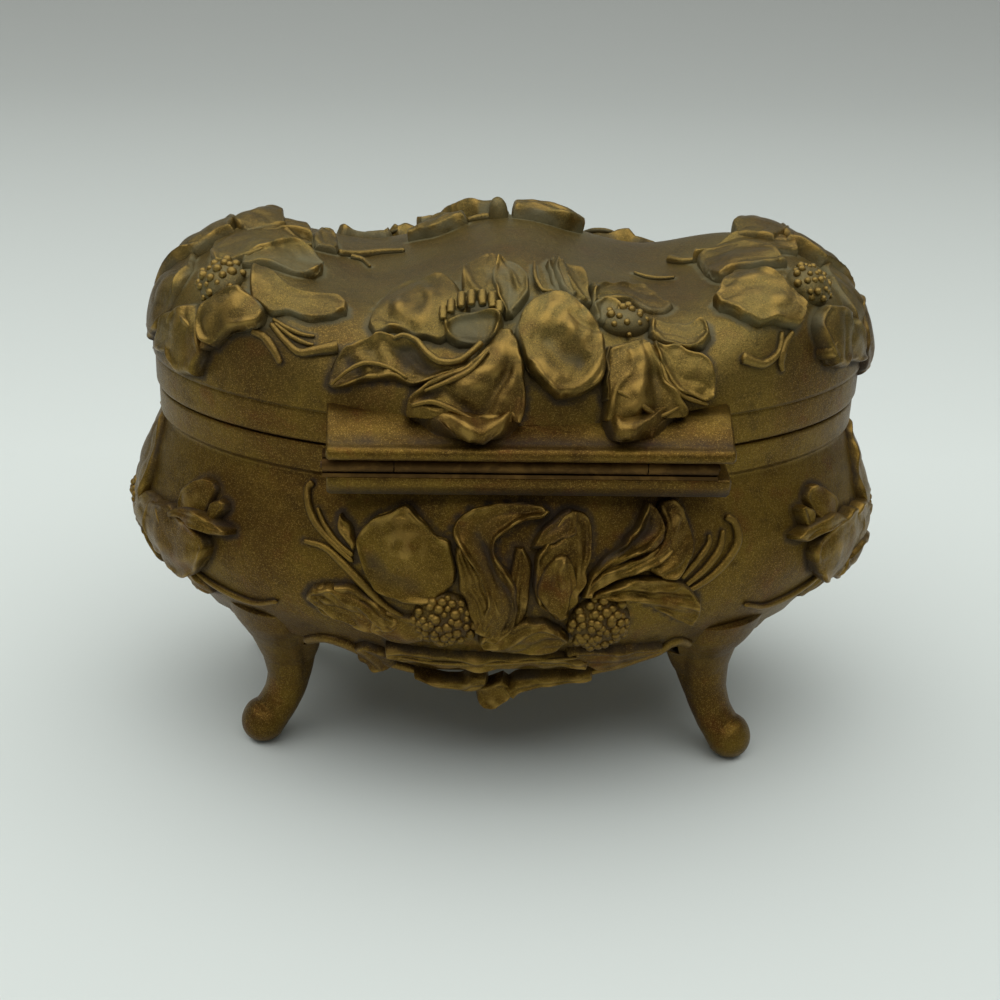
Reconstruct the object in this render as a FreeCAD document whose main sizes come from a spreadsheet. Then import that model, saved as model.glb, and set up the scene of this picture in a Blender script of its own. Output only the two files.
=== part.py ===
import FreeCAD, Part
import math
import os
import re
from FreeCAD import Placement, Rotation, Vector

# Footed oval jewelry casket. Millimetres, +Z up, front towards -Y, hinge along +Y.
# The origin is on the floor, under the middle of the casket.

doc = FreeCAD.newDocument("JewelryCasket")
sheet = doc.addObject("Spreadsheet::Sheet", "Sizes")

driving = [
    # Body shell: the rim is half its length and half its width, other rings stand out from it.
    ("rim_long", 66.5, "half length of the rim"),
    ("rim_wide", 38.5, "half width of the rim"),
    ("rim_top", 68.5, "height of the rim above the floor"),
    ("rim_band", 5.3, "depth of the plain band under the rim"),
    ("neck_drop", 6.6, "from the rim down to the neck groove"),
    ("neck_in", 0.9, "how far the neck goes in"),
    ("shoulder_height", 57.0, "height of the shoulder"),
    ("shoulder_out_long", 1.1, "shoulder beyond the rim, lengthways"),
    ("shoulder_out_wide", 1.5, "shoulder beyond the rim, across"),
    ("upper_belly_height", 50.0, "height of the upper belly"),
    ("upper_belly_out_long", 3.7, "upper belly beyond the rim, lengthways"),
    ("upper_belly_out_wide", 4.5, "upper belly beyond the rim, across"),
    ("belly_height", 43.0, "height of the fullest part"),
    ("belly_out_long", 4.1, "belly beyond the rim, lengthways"),
    ("belly_out_wide", 5.5, "belly beyond the rim, across"),
    ("lower_belly_height", 36.0, "height of the lower belly"),
    ("lower_belly_out_long", 0.7, "lower belly beyond the rim, lengthways"),
    ("lower_belly_out_wide", 4.5, "lower belly beyond the rim, across"),
    ("hip_height", 30.0, "height where the body turns under"),
    ("hip_in_long", 4.6, "hip inside the rim, lengthways"),
    ("hip_out_wide", 1.1, "hip beyond the rim, across"),
    ("hem_height", 23.0, "height of the lower edge"),
    ("hem_in_long", 9.5, "hem inside the rim, lengthways"),
    ("hem_in_wide", 4.5, "hem inside the rim, across"),
    ("wall", 2.6, "thickness of the cast wall"),
    ("rim_wall", 3.5, "thickness of the wall at the rims"),
    ("cove", 1.0, "inside of the hip above its outside"),
    ("floor_top", 25.0, "height of the inside floor"),
    ("floor_in_long", 13.5, "edge of the floor inside the rim, lengthways"),
    ("floor_in_wide", 6.0, "edge of the floor inside the rim, across"),

    # Lid shell: rises are measured from the rim of the body.
    ("seam", 0.5, "gap between the body and the lid"),
    ("lid_band_rise", 6.3, "top of the plain band of the lid"),
    ("lid_band_out", 0.5, "lid band beyond the body rim"),
    ("lid_foot_rise", 7.5, "foot of the domed part"),
    ("lid_foot_out", 1.0, "foot of the dome beyond the body rim"),
    ("dome_foot_rise", 6.7, "start of the dome's curve"),
    ("dome_height", 16.0, "height of the dome above its foot"),
    ("dome_square_long", 12.0, "how square the dome is lengthways"),
    ("dome_square_wide", 3.0, "how square the dome is across"),
    ("dome_round_long", 2.3, "how flat the dome's top is lengthways"),
    ("dome_round_wide", 1.75, "how flat the dome's top is across"),
    ("swell_rise", 6.0, "height of the swell in the middle of the lid"),
    ("swell_reach", 16.0, "reach of the middle swell along the lid"),
    ("end_swell_rise", 3.5, "height of the swells at the ends of the lid"),
    ("end_swell_place", 47.0, "middle of an end swell from the middle of the lid"),
    ("end_swell_reach", 15.0, "reach of an end swell along the lid"),
    ("hollow_wall_rise", 8.0, "top of the straight wall of the lid's hollow"),
    ("hollow_cove_rise", 12.5, "lower bend of the lid's hollow"),
    ("hollow_cove_share", 0.943, "size of the lower bend against the straight wall"),
    ("hollow_haunch_rise", 16.1, "upper bend of the lid's hollow"),
    ("hollow_haunch_share", 0.8, "size of the upper bend against the straight wall"),
    ("hollow_roof_rise", 18.9, "roof of the lid's hollow"),
    ("hollow_roof_share", 0.486, "size of the roof against the straight wall"),

    # Relief: how far the flowers stand out of the shells.
    ("flower_relief", 3.0, "near petals beyond the body shell"),
    ("leaf_relief", 1.6, "far petals and leaves beyond the body shell"),
    ("shoulder_share", 0.35, "share of the relief that is left at the shoulder"),
    ("flower_top", 59.5, "top of the relief on the body"),
    ("apron_out", 3.2, "hanging leaves beyond the lower edge of the shell"),
    ("apron_drop", 7.0, "lowest hanging leaf under the lower edge of the shell"),
    ("side_root", 30.0, "root of the petals on the long sides, from the middle"),
    ("end_root", 44.0, "root of the petals on the ends, from the middle"),
    ("apron_root", 32.5, "back of the hanging leaves, from the middle"),
    ("petal_depth", 60.0, "length of a petal before it is cut off at the skin"),
    ("lid_relief", 3.0, "near petals beyond the lid shell"),
    ("lid_leaf_relief", 1.7, "far petals and leaves beyond the lid shell"),
    ("lid_end_relief", 3.6, "flowers beyond the ends of the lid shell"),
    ("lid_side_root", 42.0, "root of the petals on the lid's long sides"),
    ("lid_end_root", 62.0, "root of the petals on the lid's ends"),
    ("lid_flower_tilt", 28.0, "upward tilt of the flowers on the lid's long sides"),
    ("lid_end_tilt", 60.0, "upward tilt of the flowers on the lid's ends"),
    ("stamen_radius", 5.8, "radius of a stamen ball on the body's long sides"),
    ("end_stamen_radius", 4.6, "radius of a stamen ball on the body's ends"),
    ("lid_stamen_radius", 4.4, "radius of a stamen ball on the lid"),
    ("stamen_root", 7.0, "from the top of a stamen ball down to its root"),
    ("stamen_edge", 2.8, "from the top of a stamen ball down to its widest part"),
    ("stamen_bend", 0.8, "from the top of a stamen ball down to its upper bend"),
    ("stamen_bend_share", 0.72, "upper bend of a stamen ball against its radius"),
    ("stamen_top_share", 0.3, "flat top of a stamen ball against its radius"),
    ("crown_root", 90.0, "root of the knob and the curl on the lid's crown"),
    ("knob_along", 2.2, "knob from the middle, lengthways"),
    ("knob_across", -14.0, "knob from the middle, across"),
    ("knob_radius", 1.9, "radius of the knob"),
    ("knob_top", 100.6, "top of the knob"),
    ("curl_along", -7.0, "curl from the middle, lengthways"),
    ("curl_across", -15.5, "curl from the middle, across"),
    ("curl_long", 6.6, "half length of the curl"),
    ("curl_wide", 2.4, "half breadth of the curl"),
    ("curl_top", 99.8, "top of the curl"),
    ("arch_reach", 0.992, "place of the last arches against the length of the dome"),

    # Feet.
    ("right_foot_turn", 22.5, "direction of the feet at +X from the long axis"),
    ("left_foot_turn", 29.5, "direction of the feet at -X from the long axis"),
    ("knee_reach", 43.5, "knee of a foot from the middle"),
    ("toe_reach", 50.3, "toe of a foot from the middle"),
    ("instep_in", 2.6, "instep inside the toe"),
    ("instep_slim", 0.6, "instep slimmer than the toe"),
    ("sole_slim", 0.5, "lower part of the toe slimmer than the toe"),
    ("ankle_out", 1.6, "ankle outside the knee"),
    ("shin_out", 0.6, "shin outside the knee"),
    ("knee_rise", 2.0, "fullest part of the knee above the hem"),
    ("foot_top", 31.0, "top of the knee inside the shell"),
    ("knee_radius", 7.2, "half breadth of the knee"),
    ("foot_flatness", 0.86, "depth of a foot against its breadth"),
    ("ankle_height", 9.0, "height of the thinnest part"),
    ("ankle_radius", 3.7, "half breadth of the ankle"),
    ("toe_height", 3.6, "height of the widest part of the toe"),
    ("toe_radius", 4.4, "half breadth of the toe"),
    ("toe_flat", 2.4, "radius of the flat under the toe"),

    # Hinge.
    ("axis_out", 3.0, "hinge axis behind the rim"),
    ("axis_rise", 0.2, "hinge axis above the rim"),
    ("knuckle_radius", 1.25, "outer radius of the knuckles"),
    ("pin_radius", 0.6, "radius of the hinge pin"),
    ("pin_play", 0.04, "radial play round the pin"),
    ("hinge_half", 34.5, "half length of the hinge"),
    ("lid_knuckle_half", 22.0, "half length of the lid's knuckle"),
    ("knuckle_gap", 0.2, "gap between knuckles, endways"),
    ("leaf_thick", 0.7, "thickness of a hinge leaf"),
    ("leaf_gap", 0.15, "gap between a leaf and the other leaf's knuckle"),
    ("leaf_clear", 0.4, "gap between a leaf and the shells"),
    ("pin_proud", 0.3, "how far the pin stands out at each end"),
    ("ledge_drop", 6.1, "bottom of the ledge under the rim"),
    ("ledge_out", 3.8, "ledge behind the rim"),
    ("bead_radius", 2.0, "radius of the bead along the lid's hinge block"),
    ("bead_rise", 4.7, "middle of the bead above the rim"),
    ("bead_out", 2.5, "middle of the bead behind the rim"),

    # Lining.
    ("lining_gap", 0.3, "gap between the lining and the casting"),
    ("lining_thick", 1.0, "thickness of the silk on its card"),
    ("lining_drop", 2.4, "top of the lining under the rim"),
    ("card_thick", 0.8, "thickness of the pasteboard"),
    ("pad_side", 2.2, "height of the fullest part of the pad above its card"),
    ("pad_shoulder", 4.4, "height of the pad's upper edge above its card"),
    ("pad_crown", 6.2, "height of the crown of the pad above its card"),
    ("pad_edge_share", 0.98, "sewn edge of the pad against its card"),
    ("pad_side_share", 1.03, "fullest part of the pad against its card"),
    ("pad_crown_share", 0.62, "crown of the pad against its card"),
    ("lid_pad_share", 0.86, "fullest part of the lid's pad against the hollow"),
    ("lid_pad_depth", 7.2, "depth of the lid's pad"),
    ("trim_thick", 1.6, "thickness of the twisted trim"),
]

for row, (name, value, meaning) in enumerate(driving, start=1):
    sheet.set("A%d" % row, meaning)
    sheet.set("B%d" % row, str(value))
    sheet.setAlias("B%d" % row, name)
doc.recompute()


aliases = {name for name, value, meaning in driving}
oval_sides = 36
skin_sides = 24
arch_count = 8
arch_steps = 12
skin_arch_count = 6
skin_arch_steps = 8
foot_sides = 16
petal_sides = 10


def bind(thing, **formulas):
    # A size of the sheet stands in a formula by its bare name, and gets the sheet's name here.
    for prop, formula in formulas.items():
        full = re.sub(r"[a-z_]+", lambda word: "Sizes." + word[0] if word[0] in aliases
                      else word[0], formula)
        thing.setExpression(prop.replace("__", "."), full)
    return thing


def make(kind, name, **formulas):
    return bind(doc.addObject(kind, name), **formulas)


def corners_of(oval, sides):
    # Corners on an oval, closer together round its ends.
    doc.recompute([oval])
    edge = oval.Shape.Edges[0]
    return [edge.valueAt(2 * math.pi * step / sides) for step in range(sides)]


def ring(name, long_half, wide_half, height, sides, along="0", across="0", turn="0"):
    # Corners of a horizontal oval; its long half lies along X before it is turned.
    oval = doc.addObject("Part::Ellipse", name)
    oval.Placement.Rotation = Rotation(Vector(0, 0, 1), 1)
    bind(oval, MinorRadius=wide_half, MajorRadius=long_half, Placement__Rotation__Angle=turn,
         Placement__Base__x=along, Placement__Base__y=across, Placement__Base__z=height)
    return corners_of(oval, sides)


def panel(corners):
    # One flat panel, or two where the four corners don't lie in a plane.
    first, second, third, fourth = corners
    normal = (second - first).cross(third - first)
    if abs(normal.dot(fourth - first)) < 1e-7 * normal.Length:
        return [Part.Face(Part.makePolygon([first, second, third, fourth, first]))]
    return [Part.Face(Part.makePolygon([first, second, third, first])),
            Part.Face(Part.makePolygon([first, third, fourth, first]))]


def stack(name, outlines):
    # Closed solid of flat panels between outlines with as many corners each.
    faces = [Part.Face(Part.makePolygon(outline + outline[:1]))
             for outline in (outlines[0], outlines[-1])]
    for low, high in zip(outlines, outlines[1:]):
        for here in range(len(low)):
            after = (here + 1) % len(low)
            faces += panel([low[here], low[after], high[after], high[here]])
    solid = Part.makeSolid(Part.Shell(faces))
    if solid.Volume < 0:
        solid.reverse()
    thing = doc.addObject("Part::Feature", name)
    thing.Shape = solid
    return thing


def shell(name, table, sides=oval_sides):
    return stack(name, [ring("%s_ring_%d" % (name, number), long_half, wide_half, height, sides)
                        for number, (long_half, wide_half, height) in enumerate(table)])


def fuse(name, shapes):
    whole = doc.addObject("Part::MultiFuse", name)
    whole.Shapes = shapes
    return whole


def cut(name, base, tool):
    rest = doc.addObject("Part::Cut", name)
    rest.Base = base
    rest.Tool = tool
    return rest


def common(name, base, tool):
    both = doc.addObject("Part::Common", name)
    both.Base = base
    both.Tool = tool
    return both


def box(name, low_x, low_y, low_z, size_x, size_y, size_z):
    return make("Part::Box", name, Length=size_x, Width=size_y, Height=size_z,
                Placement__Base__x=low_x, Placement__Base__y=low_y, Placement__Base__z=low_z)


def rod(name, radius, start_x, length, place_y, place_z):
    # Cylinder along +X.
    solid = make("Part::Cylinder", name, Radius=radius, Height=length)
    solid.Placement.Rotation = Rotation(Vector(0, 1, 0), 90)
    return bind(solid, Placement__Base__x=start_x, Placement__Base__y=place_y,
                Placement__Base__z=place_z)


def finish(piece, label):
    piece.Label = label
    nodes.append(piece)
    return piece


nodes = []

# Outside of the body: rings from the hem up to the rim.
body_rings = [
    ("rim_long - hem_in_long", "rim_wide - hem_in_wide", "hem_height"),
    ("rim_long - hip_in_long", "rim_wide + hip_out_wide", "hip_height"),
    ("rim_long + lower_belly_out_long", "rim_wide + lower_belly_out_wide", "lower_belly_height"),
    ("rim_long + belly_out_long", "rim_wide + belly_out_wide", "belly_height"),
    ("rim_long + upper_belly_out_long", "rim_wide + upper_belly_out_wide", "upper_belly_height"),
    ("rim_long + shoulder_out_long", "rim_wide + shoulder_out_wide", "shoulder_height"),
    ("rim_long - neck_in", "rim_wide - neck_in", "rim_top - neck_drop"),
    ("rim_long", "rim_wide", "rim_top - rim_band"),
    ("rim_long", "rim_wide", "rim_top"),
]
# Inside of the body, open at the rim.
cavity_rings = [
    ("rim_long - floor_in_long", "rim_wide - floor_in_wide", "floor_top"),
    ("rim_long - hip_in_long - wall", "rim_wide + hip_out_wide - wall", "hip_height + cove"),
    ("rim_long + belly_out_long - wall", "rim_wide + belly_out_wide - wall", "belly_height"),
    ("rim_long - (rim_wall + wall - belly_out_long) / 2",
     "rim_wide - (rim_wall + wall - belly_out_wide) / 2", "(belly_height + rim_top) / 2"),
    ("rim_long - rim_wall", "rim_wide - rim_wall", "rim_top"),
]
# Skin that the leaves hanging from the lower edge reach.
apron_rings = [("rim_long - hem_in_long + apron_out", "rim_wide - hem_in_wide + apron_out", rise)
               for rise in ("hem_height - apron_drop", "hip_height")]


def skin_rings(relief):
    # Skin that the petals of the body reach: its shell, made larger by the relief.
    rings = [("%s + %s" % (long_half, relief), "%s + %s" % (wide_half, relief), height)
             for long_half, wide_half, height in body_rings[:5]]
    return rings + [("rim_long + shoulder_out_long + shoulder_share * " + relief,
                     "rim_wide + shoulder_out_wide + shoulder_share * " + relief, "flower_top")]


# A petal is drawn flat, as seen from outside: rows from its base to its tip, each with the
# right and up of its one edge and then of its other edge.
side_near = [
    ((-20.5, 42.5, -15, 43), (-28, 49, -11, 49), (-27.5, 55, -12.5, 54), (-22, 58.5, -17, 58)),
    ((-6, 36, -3.5, 35.5), (-5.5, 44, 0.5, 42.5), (-11, 53.5, -4, 52.5), (-5.5, 59, 2, 57.5),
     (4, 59.5, 5.5, 58.5)),
    ((7, 40, 9, 40.5), (2.5, 48, 12.5, 49), (5, 55, 13, 56.5), (9, 59.5, 10.5, 59)),
    ((11, 44.5, 13.5, 44.5), (15, 51, 20, 51), (18.5, 54, 25, 52.5), (22.5, 59.5, 24, 59)),
    ((-6, 37.5, -6.5, 35.5), (-3, 38.5, -3.5, 33), (1.5, 40, 0.5, 32.5), (9.5, 37, 10, 36)),
]
side_far = [
    ((22, 51, 22, 48.5), (26, 55.5, 28, 46.5), (25.5, 59, 31, 50), (29.5, 58.5, 30, 57)),
    ((12.5, 44.5, 13.5, 44), (19, 47.5, 20.5, 43.5), (27.5, 46.5, 29.5, 38), (33, 42, 33.5, 39)),
    ((-22, 36, -20.5, 38), (-30, 37, -29, 43.5), (-38, 40.5, -36, 43.5)),
    ((13.5, 27.5, 14.5, 29.5), (0, 28, 0, 31.5), (-17.5, 28, -18.5, 31.5), (-23, 30, -23, 32.5)),
    ((10, 32.5, 9, 30), (20, 32, 19, 26.5), (28, 31.5, 27.5, 29.5)),
    ((-38, 26.5, -38, 29), (-33, 28.5, -33, 31), (-24, 24.5, -24, 27), (-16, 22.5, -16, 25)),
    ((34, 27.5, 34, 30), (29.5, 29.5, 29.5, 32), (21, 25, 21, 27.5), (13, 23, 13, 25.5)),
]
side_hanging = [
    ((1, 26, -7, 26), (0, 20, -6.5, 20.5), (-1.5, 17.5, -5, 17.5)),
    ((-17.5, 25.5, -17.5, 23), (-9, 25.5, -9, 20.5), (3, 25.5, 3, 21), (17.5, 26.5, 17, 24)),
]
side_stamens = [(-12.8, 39.6, 46.6), (15.1, 38.7, 46.6)]
end_near = [
    ((19, 40, 24, 41), (15.5, 45, 28, 46), (15, 52, 27, 53), (18, 57, 23, 57)),
    ((-3, 40, 3, 40), (-8, 47, 8, 47), (-7.5, 54, 7.5, 54), (-3, 58, 3, 58)),
    ((-19, 40, -24, 41), (-15.5, 45, -28, 46), (-15, 52, -27, 53), (-18, 57, -23, 57)),
]
end_far = [
    ((16, 36, 19, 32), (23, 39, 27, 35), (31, 38, 32, 36)),
    ((-10, 34, -9, 30), (0, 37, 0, 31), (10, 34, 9, 30)),
    ((-16, 36, -19, 32), (-23, 39, -27, 35), (-31, 38, -32, 36)),
]
end_stamens = [(10.5, 41.5, 71.8), (-10.5, 41.5, 71.8)]
lid_back_near = [
    ((-9, 65.5, -8.5, 70.5), (-17, 62.5, -16, 75.5), (-23, 64.5, -24, 72),
     (-26.5, 64.5, -27, 66)),
    ((-3, 66.5, -1.5, 67), (-5, 73, 1.5, 73), (-3, 78.5, -1.5, 78)),
]
lid_side_near = [
    ((-1.5, 64.5, -4.5, 64.5), (0.5, 56.5, -11.5, 57), (0.5, 50.5, -19, 53.5),
     (-3.5, 46, -19.5, 49), (-9, 45, -11.5, 45.5)),
    ((1, 56.5, 6, 52.5), (-1, 60.5, 10, 53), (-1.5, 64.5, 13.5, 56), (3, 70, 12.5, 65),
     (5.5, 70.5, 9.5, 68.5)),
    ((21, 63, 13.5, 61), (24.5, 56.5, 14, 54), (28.5, 51.5, 14, 47.5), (23, 46.5, 19, 45.5)),
]
lid_back_far = [
    ((-10, 71, -2.5, 70.5), (-10, 76, -2, 75.5), (-5, 80, -3.5, 79.5)),
    ((9, 69.5, 12.5, 69.5), (5.5, 75, 12, 75), (6, 79.5, 8.5, 79)),
    ((11, 74.5, 11, 69.5), (20, 75, 19.5, 70.5), (28, 71.5, 28, 70.5)),
]
lid_front_far = [
    ((-9, 63, -8.5, 67), (-17, 61, -16, 71.5), (-23, 62.5, -24, 69), (-26.5, 63, -27, 64.5)),
]
lid_side_far = [
    ((-7, 58.5, -6, 62.5), (-14.5, 55.5, -12, 59), (-22.5, 55.5, -19, 62.5),
     (-34, 55, -33.5, 57)),
    ((23, 67.5, 22.5, 64.5), (29.5, 66.5, 28.5, 61.5), (33.5, 66.5, 34, 64)),
    ((23, 63, 22.5, 61.5), (30, 61.5, 25.5, 55), (34, 57.5, 32, 53)),
]
lid_side_stamens = [(-8.8, 64.7, 71.5), (18.5, 66.8, 68.4)]
lid_right_petals = [
    ((19, 4, 17.5, -1), (21.5, 5.5, 17.5, -4), (25, 4, 21.5, -6), (23.5, -1, 23, -5)),
    ((13, 5.5, 21.5, 4.5), (14, 8, 24.5, 6.5), (18.5, 17, 25, 16), (21, 18.5, 23.5, 18)),
    ((8, 4, 11.5, 4), (2, 9, 12.5, 9.5), (0.5, 14, 12.5, 14), (4.5, 15.5, 8.5, 15.5)),
    ((2.5, -2, 9, -0.5), (-5, -1, 9, 2.5), (-9.5, 3.5, 8.5, 5.5), (-3.5, 13, 0.5, 14)),
    ((16, -4.5, 13, -9), (21, -6, 14.5, -13), (21.5, -10, 18, -14)),
    ((9, -7, 5, -13), (0, -5, -3, -12), (-8, -5, -9, -10)),
]
lid_left_petals = [
    ((-19, 0.5, -16.5, 4), (-24.5, 5.5, -11.5, 10), (-24, 12, -16, 14), (-22.5, 14.5, -20, 15)),
    ((-7, 3.5, 0.5, 5.5), (-10, 11, 3.5, 11), (-11.5, 14, 3, 14), (-6.5, 15, 1, 15.5)),
    ((-12.5, -8.5, -16.5, -2.5), (-17, -11.5, -21.5, -5), (-19.5, -11, -21.5, -8)),
    ((2.5, -0.5, 10, 0), (-0.5, 6, 9.5, 5.5), (1.5, 13, 6.5, 12.5), (2.5, 16, 5.5, 15.5)),
    ((-8, -7, -4, -13), (0, -5, 3, -12), (8, -4, 10, -10)),
]
lid_right_stamens = [(14.1, 0.0, 108.8), (-14.1, 0.0, 108.8)]
lid_left_stamens = [(-11.9, -0.4, 109.4), (13.5, -0.4, 109.0)]


def mirrored(petals):
    # The same petals on the other half of an end.
    return [tuple((-first, low, -second, high) for first, low, second, high in petal)
            for petal in petals]


def size(name):
    return float(sheet.get(name)) if name in aliases else float(name)


def seen(yaw, tilt):
    # Frame in which a side is drawn flat: right, up and towards the eye.
    return Placement(Vector(0, 0, 0), Rotation(yaw, 0, 90 - tilt))


def petals_on(name, petals, root, skin, frame):
    # Each petal runs outwards from its root inside the shell and is cut off at the skin.
    lobes = []
    for number, rows in enumerate(petals):
        outline = [Vector(right, up, size(root)) for right, up, _, _ in rows]
        outline += [Vector(right, up, size(root)) for _, _, right, up in reversed(rows)]
        outline = [frame.multVec(corner) for corner in outline]
        reach = frame.Rotation.multVec(Vector(0, 0, size("petal_depth")))
        lobes.append(stack("%s_lobe_%d" % (name, number),
                           [outline, [corner + reach for corner in outline]]))
    return common(name, fuse(name + "_mass", lobes), skin)


def stamens_on(name, places, radius, frame):
    # Low domes that stand a little out of the petals.
    domes = []
    for number, (right, up, top) in enumerate(places):
        outlines = []
        for share, drop in (("1", "stamen_root"), ("1", "stamen_edge"),
                            ("stamen_bend_share", "stamen_bend"), ("stamen_top_share", "0")):
            circle = Part.Circle(Vector(right, up, top - size(drop)), Vector(0, 0, 1),
                                 size(share) * size(radius))
            outlines.append([frame.multVec(circle.value(2 * math.pi * step / petal_sides))
                             for step in range(petal_sides)])
        domes.append(stack("%s_%d" % (name, number), outlines))
    return domes


# Body casting: shell, flowers on its four sides and the ledge that carries the hinge.
near_skin = shell("near_skin", skin_rings("flower_relief"), skin_sides)
far_skin = shell("far_skin", skin_rings("leaf_relief"), skin_sides)
apron_skin = shell("apron_skin", apron_rings, skin_sides)
body_outside = shell("body_outside", body_rings)
body_parts = [body_outside]
for word, yaw in (("back", 180), ("front", 0)):
    view = seen(yaw, 0)
    body_parts += [petals_on("near_" + word, side_near, "side_root", near_skin, view),
                   petals_on("far_" + word, side_far, "side_root", far_skin, view),
                   petals_on("apron_" + word, side_hanging, "apron_root", apron_skin, view)]
    body_parts += stamens_on("stamens_" + word, side_stamens, "stamen_radius", view)
for word, yaw in (("right", 90), ("left", -90)):
    view = seen(yaw, 0)
    body_parts += [petals_on("near_" + word, end_near, "end_root", near_skin, view),
                   petals_on("far_" + word, end_far, "end_root", far_skin, view)]
    body_parts += stamens_on("stamens_" + word, end_stamens, "end_stamen_radius", view)

axis_place = "(rim_wide + axis_out)"
axis_height = "(rim_top + axis_rise)"
inner_reach = "(rim_wide * sqrt(1 - (hinge_half / rim_long)^2) - rim_wall / 2)"
ledge_top = "(%s - knuckle_radius - leaf_gap - leaf_thick)" % axis_height
body_parts.append(box("ledge", "0 - hinge_half", inner_reach, "rim_top - ledge_drop",
                      "2 * hinge_half", "rim_wide + ledge_out - " + inner_reach,
                      ledge_top + " - (rim_top - ledge_drop)"))
body_whole = fuse("body_whole", body_parts)
finish(cut("body_casting", body_whole, shell("cavity", cavity_rings)), "body_casting")

# Lid casting: plain band, dome with its swells, flowers and the block that carries the hinge.
lid_band_rings = [
    ("rim_long + lid_band_out", "rim_wide + lid_band_out", "rim_top + seam"),
    ("rim_long + lid_band_out", "rim_wide + lid_band_out", "rim_top + lid_band_rise"),
    ("rim_long + lid_foot_out", "rim_wide + lid_foot_out", "rim_top + lid_foot_rise"),
]
hollow_rings = [("(rim_long - rim_wall) * " + share, "(rim_wide - rim_wall) * " + share,
                 "rim_top + " + rise)
                for share, rise in (("1", "seam"), ("1", "hollow_wall_rise"),
                                    ("hollow_cove_share", "hollow_cove_rise"),
                                    ("hollow_haunch_share", "hollow_haunch_rise"),
                                    ("hollow_roof_share", "hollow_roof_rise"))]


def dome_height_at(along, across, out):
    # Height of the dome: along and across are shares of its half length and half width.
    reach = math.hypot(along, across)
    lengthways = (along / reach) ** 2 if reach else 0.0
    square = size("dome_square_wide")
    square += (size("dome_square_long") - square) * lengthways
    flat = size("dome_round_wide")
    flat += (size("dome_round_long") - flat) * lengthways
    dome = max(0.0, 1 - reach ** square) ** (1 / flat)
    place = abs(along) * (size("rim_long") + size("lid_foot_out"))
    middle = size("swell_rise") * math.exp(-(place / size("swell_reach")) ** 2)
    ends = (place - size("end_swell_place")) / size("end_swell_reach")
    ends = size("end_swell_rise") * math.exp(-ends ** 2)
    return dome * (size("dome_height") + out) + (middle + ends) * dome ** 1.5


def dome(name, out, count, steps):
    # Arches across the lid, one behind the other from end to end.
    long_half = size("rim_long") + size("lid_foot_out") + out
    wide_half = size("rim_wide") + size("lid_foot_out") + out
    foot = size("rim_top") + size("dome_foot_rise")
    arches = []
    for row in range(-count, count + 1):
        along = size("arch_reach") * math.sin(math.pi / 2 * row / count)
        span = math.sqrt(1 - along ** 2)
        corners = []
        for step in range(steps + 1):
            across = -span * math.cos(math.pi * step / steps)
            corners.append(Vector(along * long_half, across * wide_half,
                                  foot + dome_height_at(along, across, out)))
        arches.append(corners)
    return stack(name, arches)


lid_near_skin = dome("lid_near_skin", size("lid_relief"), skin_arch_count, skin_arch_steps)
lid_far_skin = dome("lid_far_skin", size("lid_leaf_relief"), skin_arch_count, skin_arch_steps)
lid_end_skin = dome("lid_end_skin", size("lid_end_relief"), skin_arch_count, skin_arch_steps)
lid_parts = [shell("lid_band", lid_band_rings), dome("lid_dome", 0.0, arch_count, arch_steps)]
for word, yaw, near, far in (("back", 180, lid_back_near, lid_back_far),
                             ("front", 0, [], lid_front_far)):
    view = seen(yaw, size("lid_flower_tilt"))
    lid_parts += [petals_on("lid_near_" + word, lid_side_near + near, "lid_side_root",
                            lid_near_skin, view),
                  petals_on("lid_far_" + word, lid_side_far + far, "lid_side_root",
                            lid_far_skin, view)]
    lid_parts += stamens_on("lid_stamens_" + word, lid_side_stamens, "lid_stamen_radius", view)
for word, yaw, near, places in (
        ("right", 90, lid_right_petals + mirrored(lid_right_petals[:2]), lid_right_stamens),
        ("left", -90, lid_left_petals + mirrored(lid_left_petals[:1]), lid_left_stamens)):
    view = seen(yaw, size("lid_end_tilt"))
    lid_parts.append(petals_on("lid_near_" + word, near, "lid_end_root", lid_end_skin, view))
    lid_parts += stamens_on("lid_stamens_" + word, places, "lid_stamen_radius", view)

# Knob and curled leaf on the crown of the lid, towards the front.
for name, table in (("crown_knob", [("knob_radius", "knob_radius", "crown_root"),
                                    ("knob_radius", "knob_radius", "knob_top - knob_radius"),
                                    ("0.4 * knob_radius", "0.4 * knob_radius", "knob_top")]),
                    ("crown_curl", [("curl_long", "curl_wide", "crown_root"),
                                    ("curl_long", "curl_wide", "curl_top - curl_wide"),
                                    ("0.8 * curl_long", "0.4 * curl_wide", "curl_top")])):
    place = ("knob_along", "knob_across") if name == "crown_knob" else ("curl_along",
                                                                       "curl_across")
    lid_parts.append(stack(name, [ring("%s_%d" % (name, number), long_half, wide_half, height,
                                       petal_sides, *place)
                                  for number, (long_half, wide_half, height)
                                  in enumerate(table)]))

block_bottom = "(%s + knuckle_radius + leaf_gap + leaf_thick)" % axis_height
bead_place = "(rim_wide + bead_out)"
lid_parts.append(box("hinge_block", "0 - hinge_half", inner_reach, block_bottom,
                     "2 * hinge_half", bead_place + " - " + inner_reach,
                     "rim_top + bead_rise + bead_radius - " + block_bottom))
lid_parts.append(rod("bead", "bead_radius", "0 - hinge_half", "2 * hinge_half", bead_place,
                     "rim_top + bead_rise"))
lid_whole = fuse("lid_whole", lid_parts)
finish(cut("lid_casting", lid_whole, shell("lid_hollow", hollow_rings)), "lid_casting")


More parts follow.
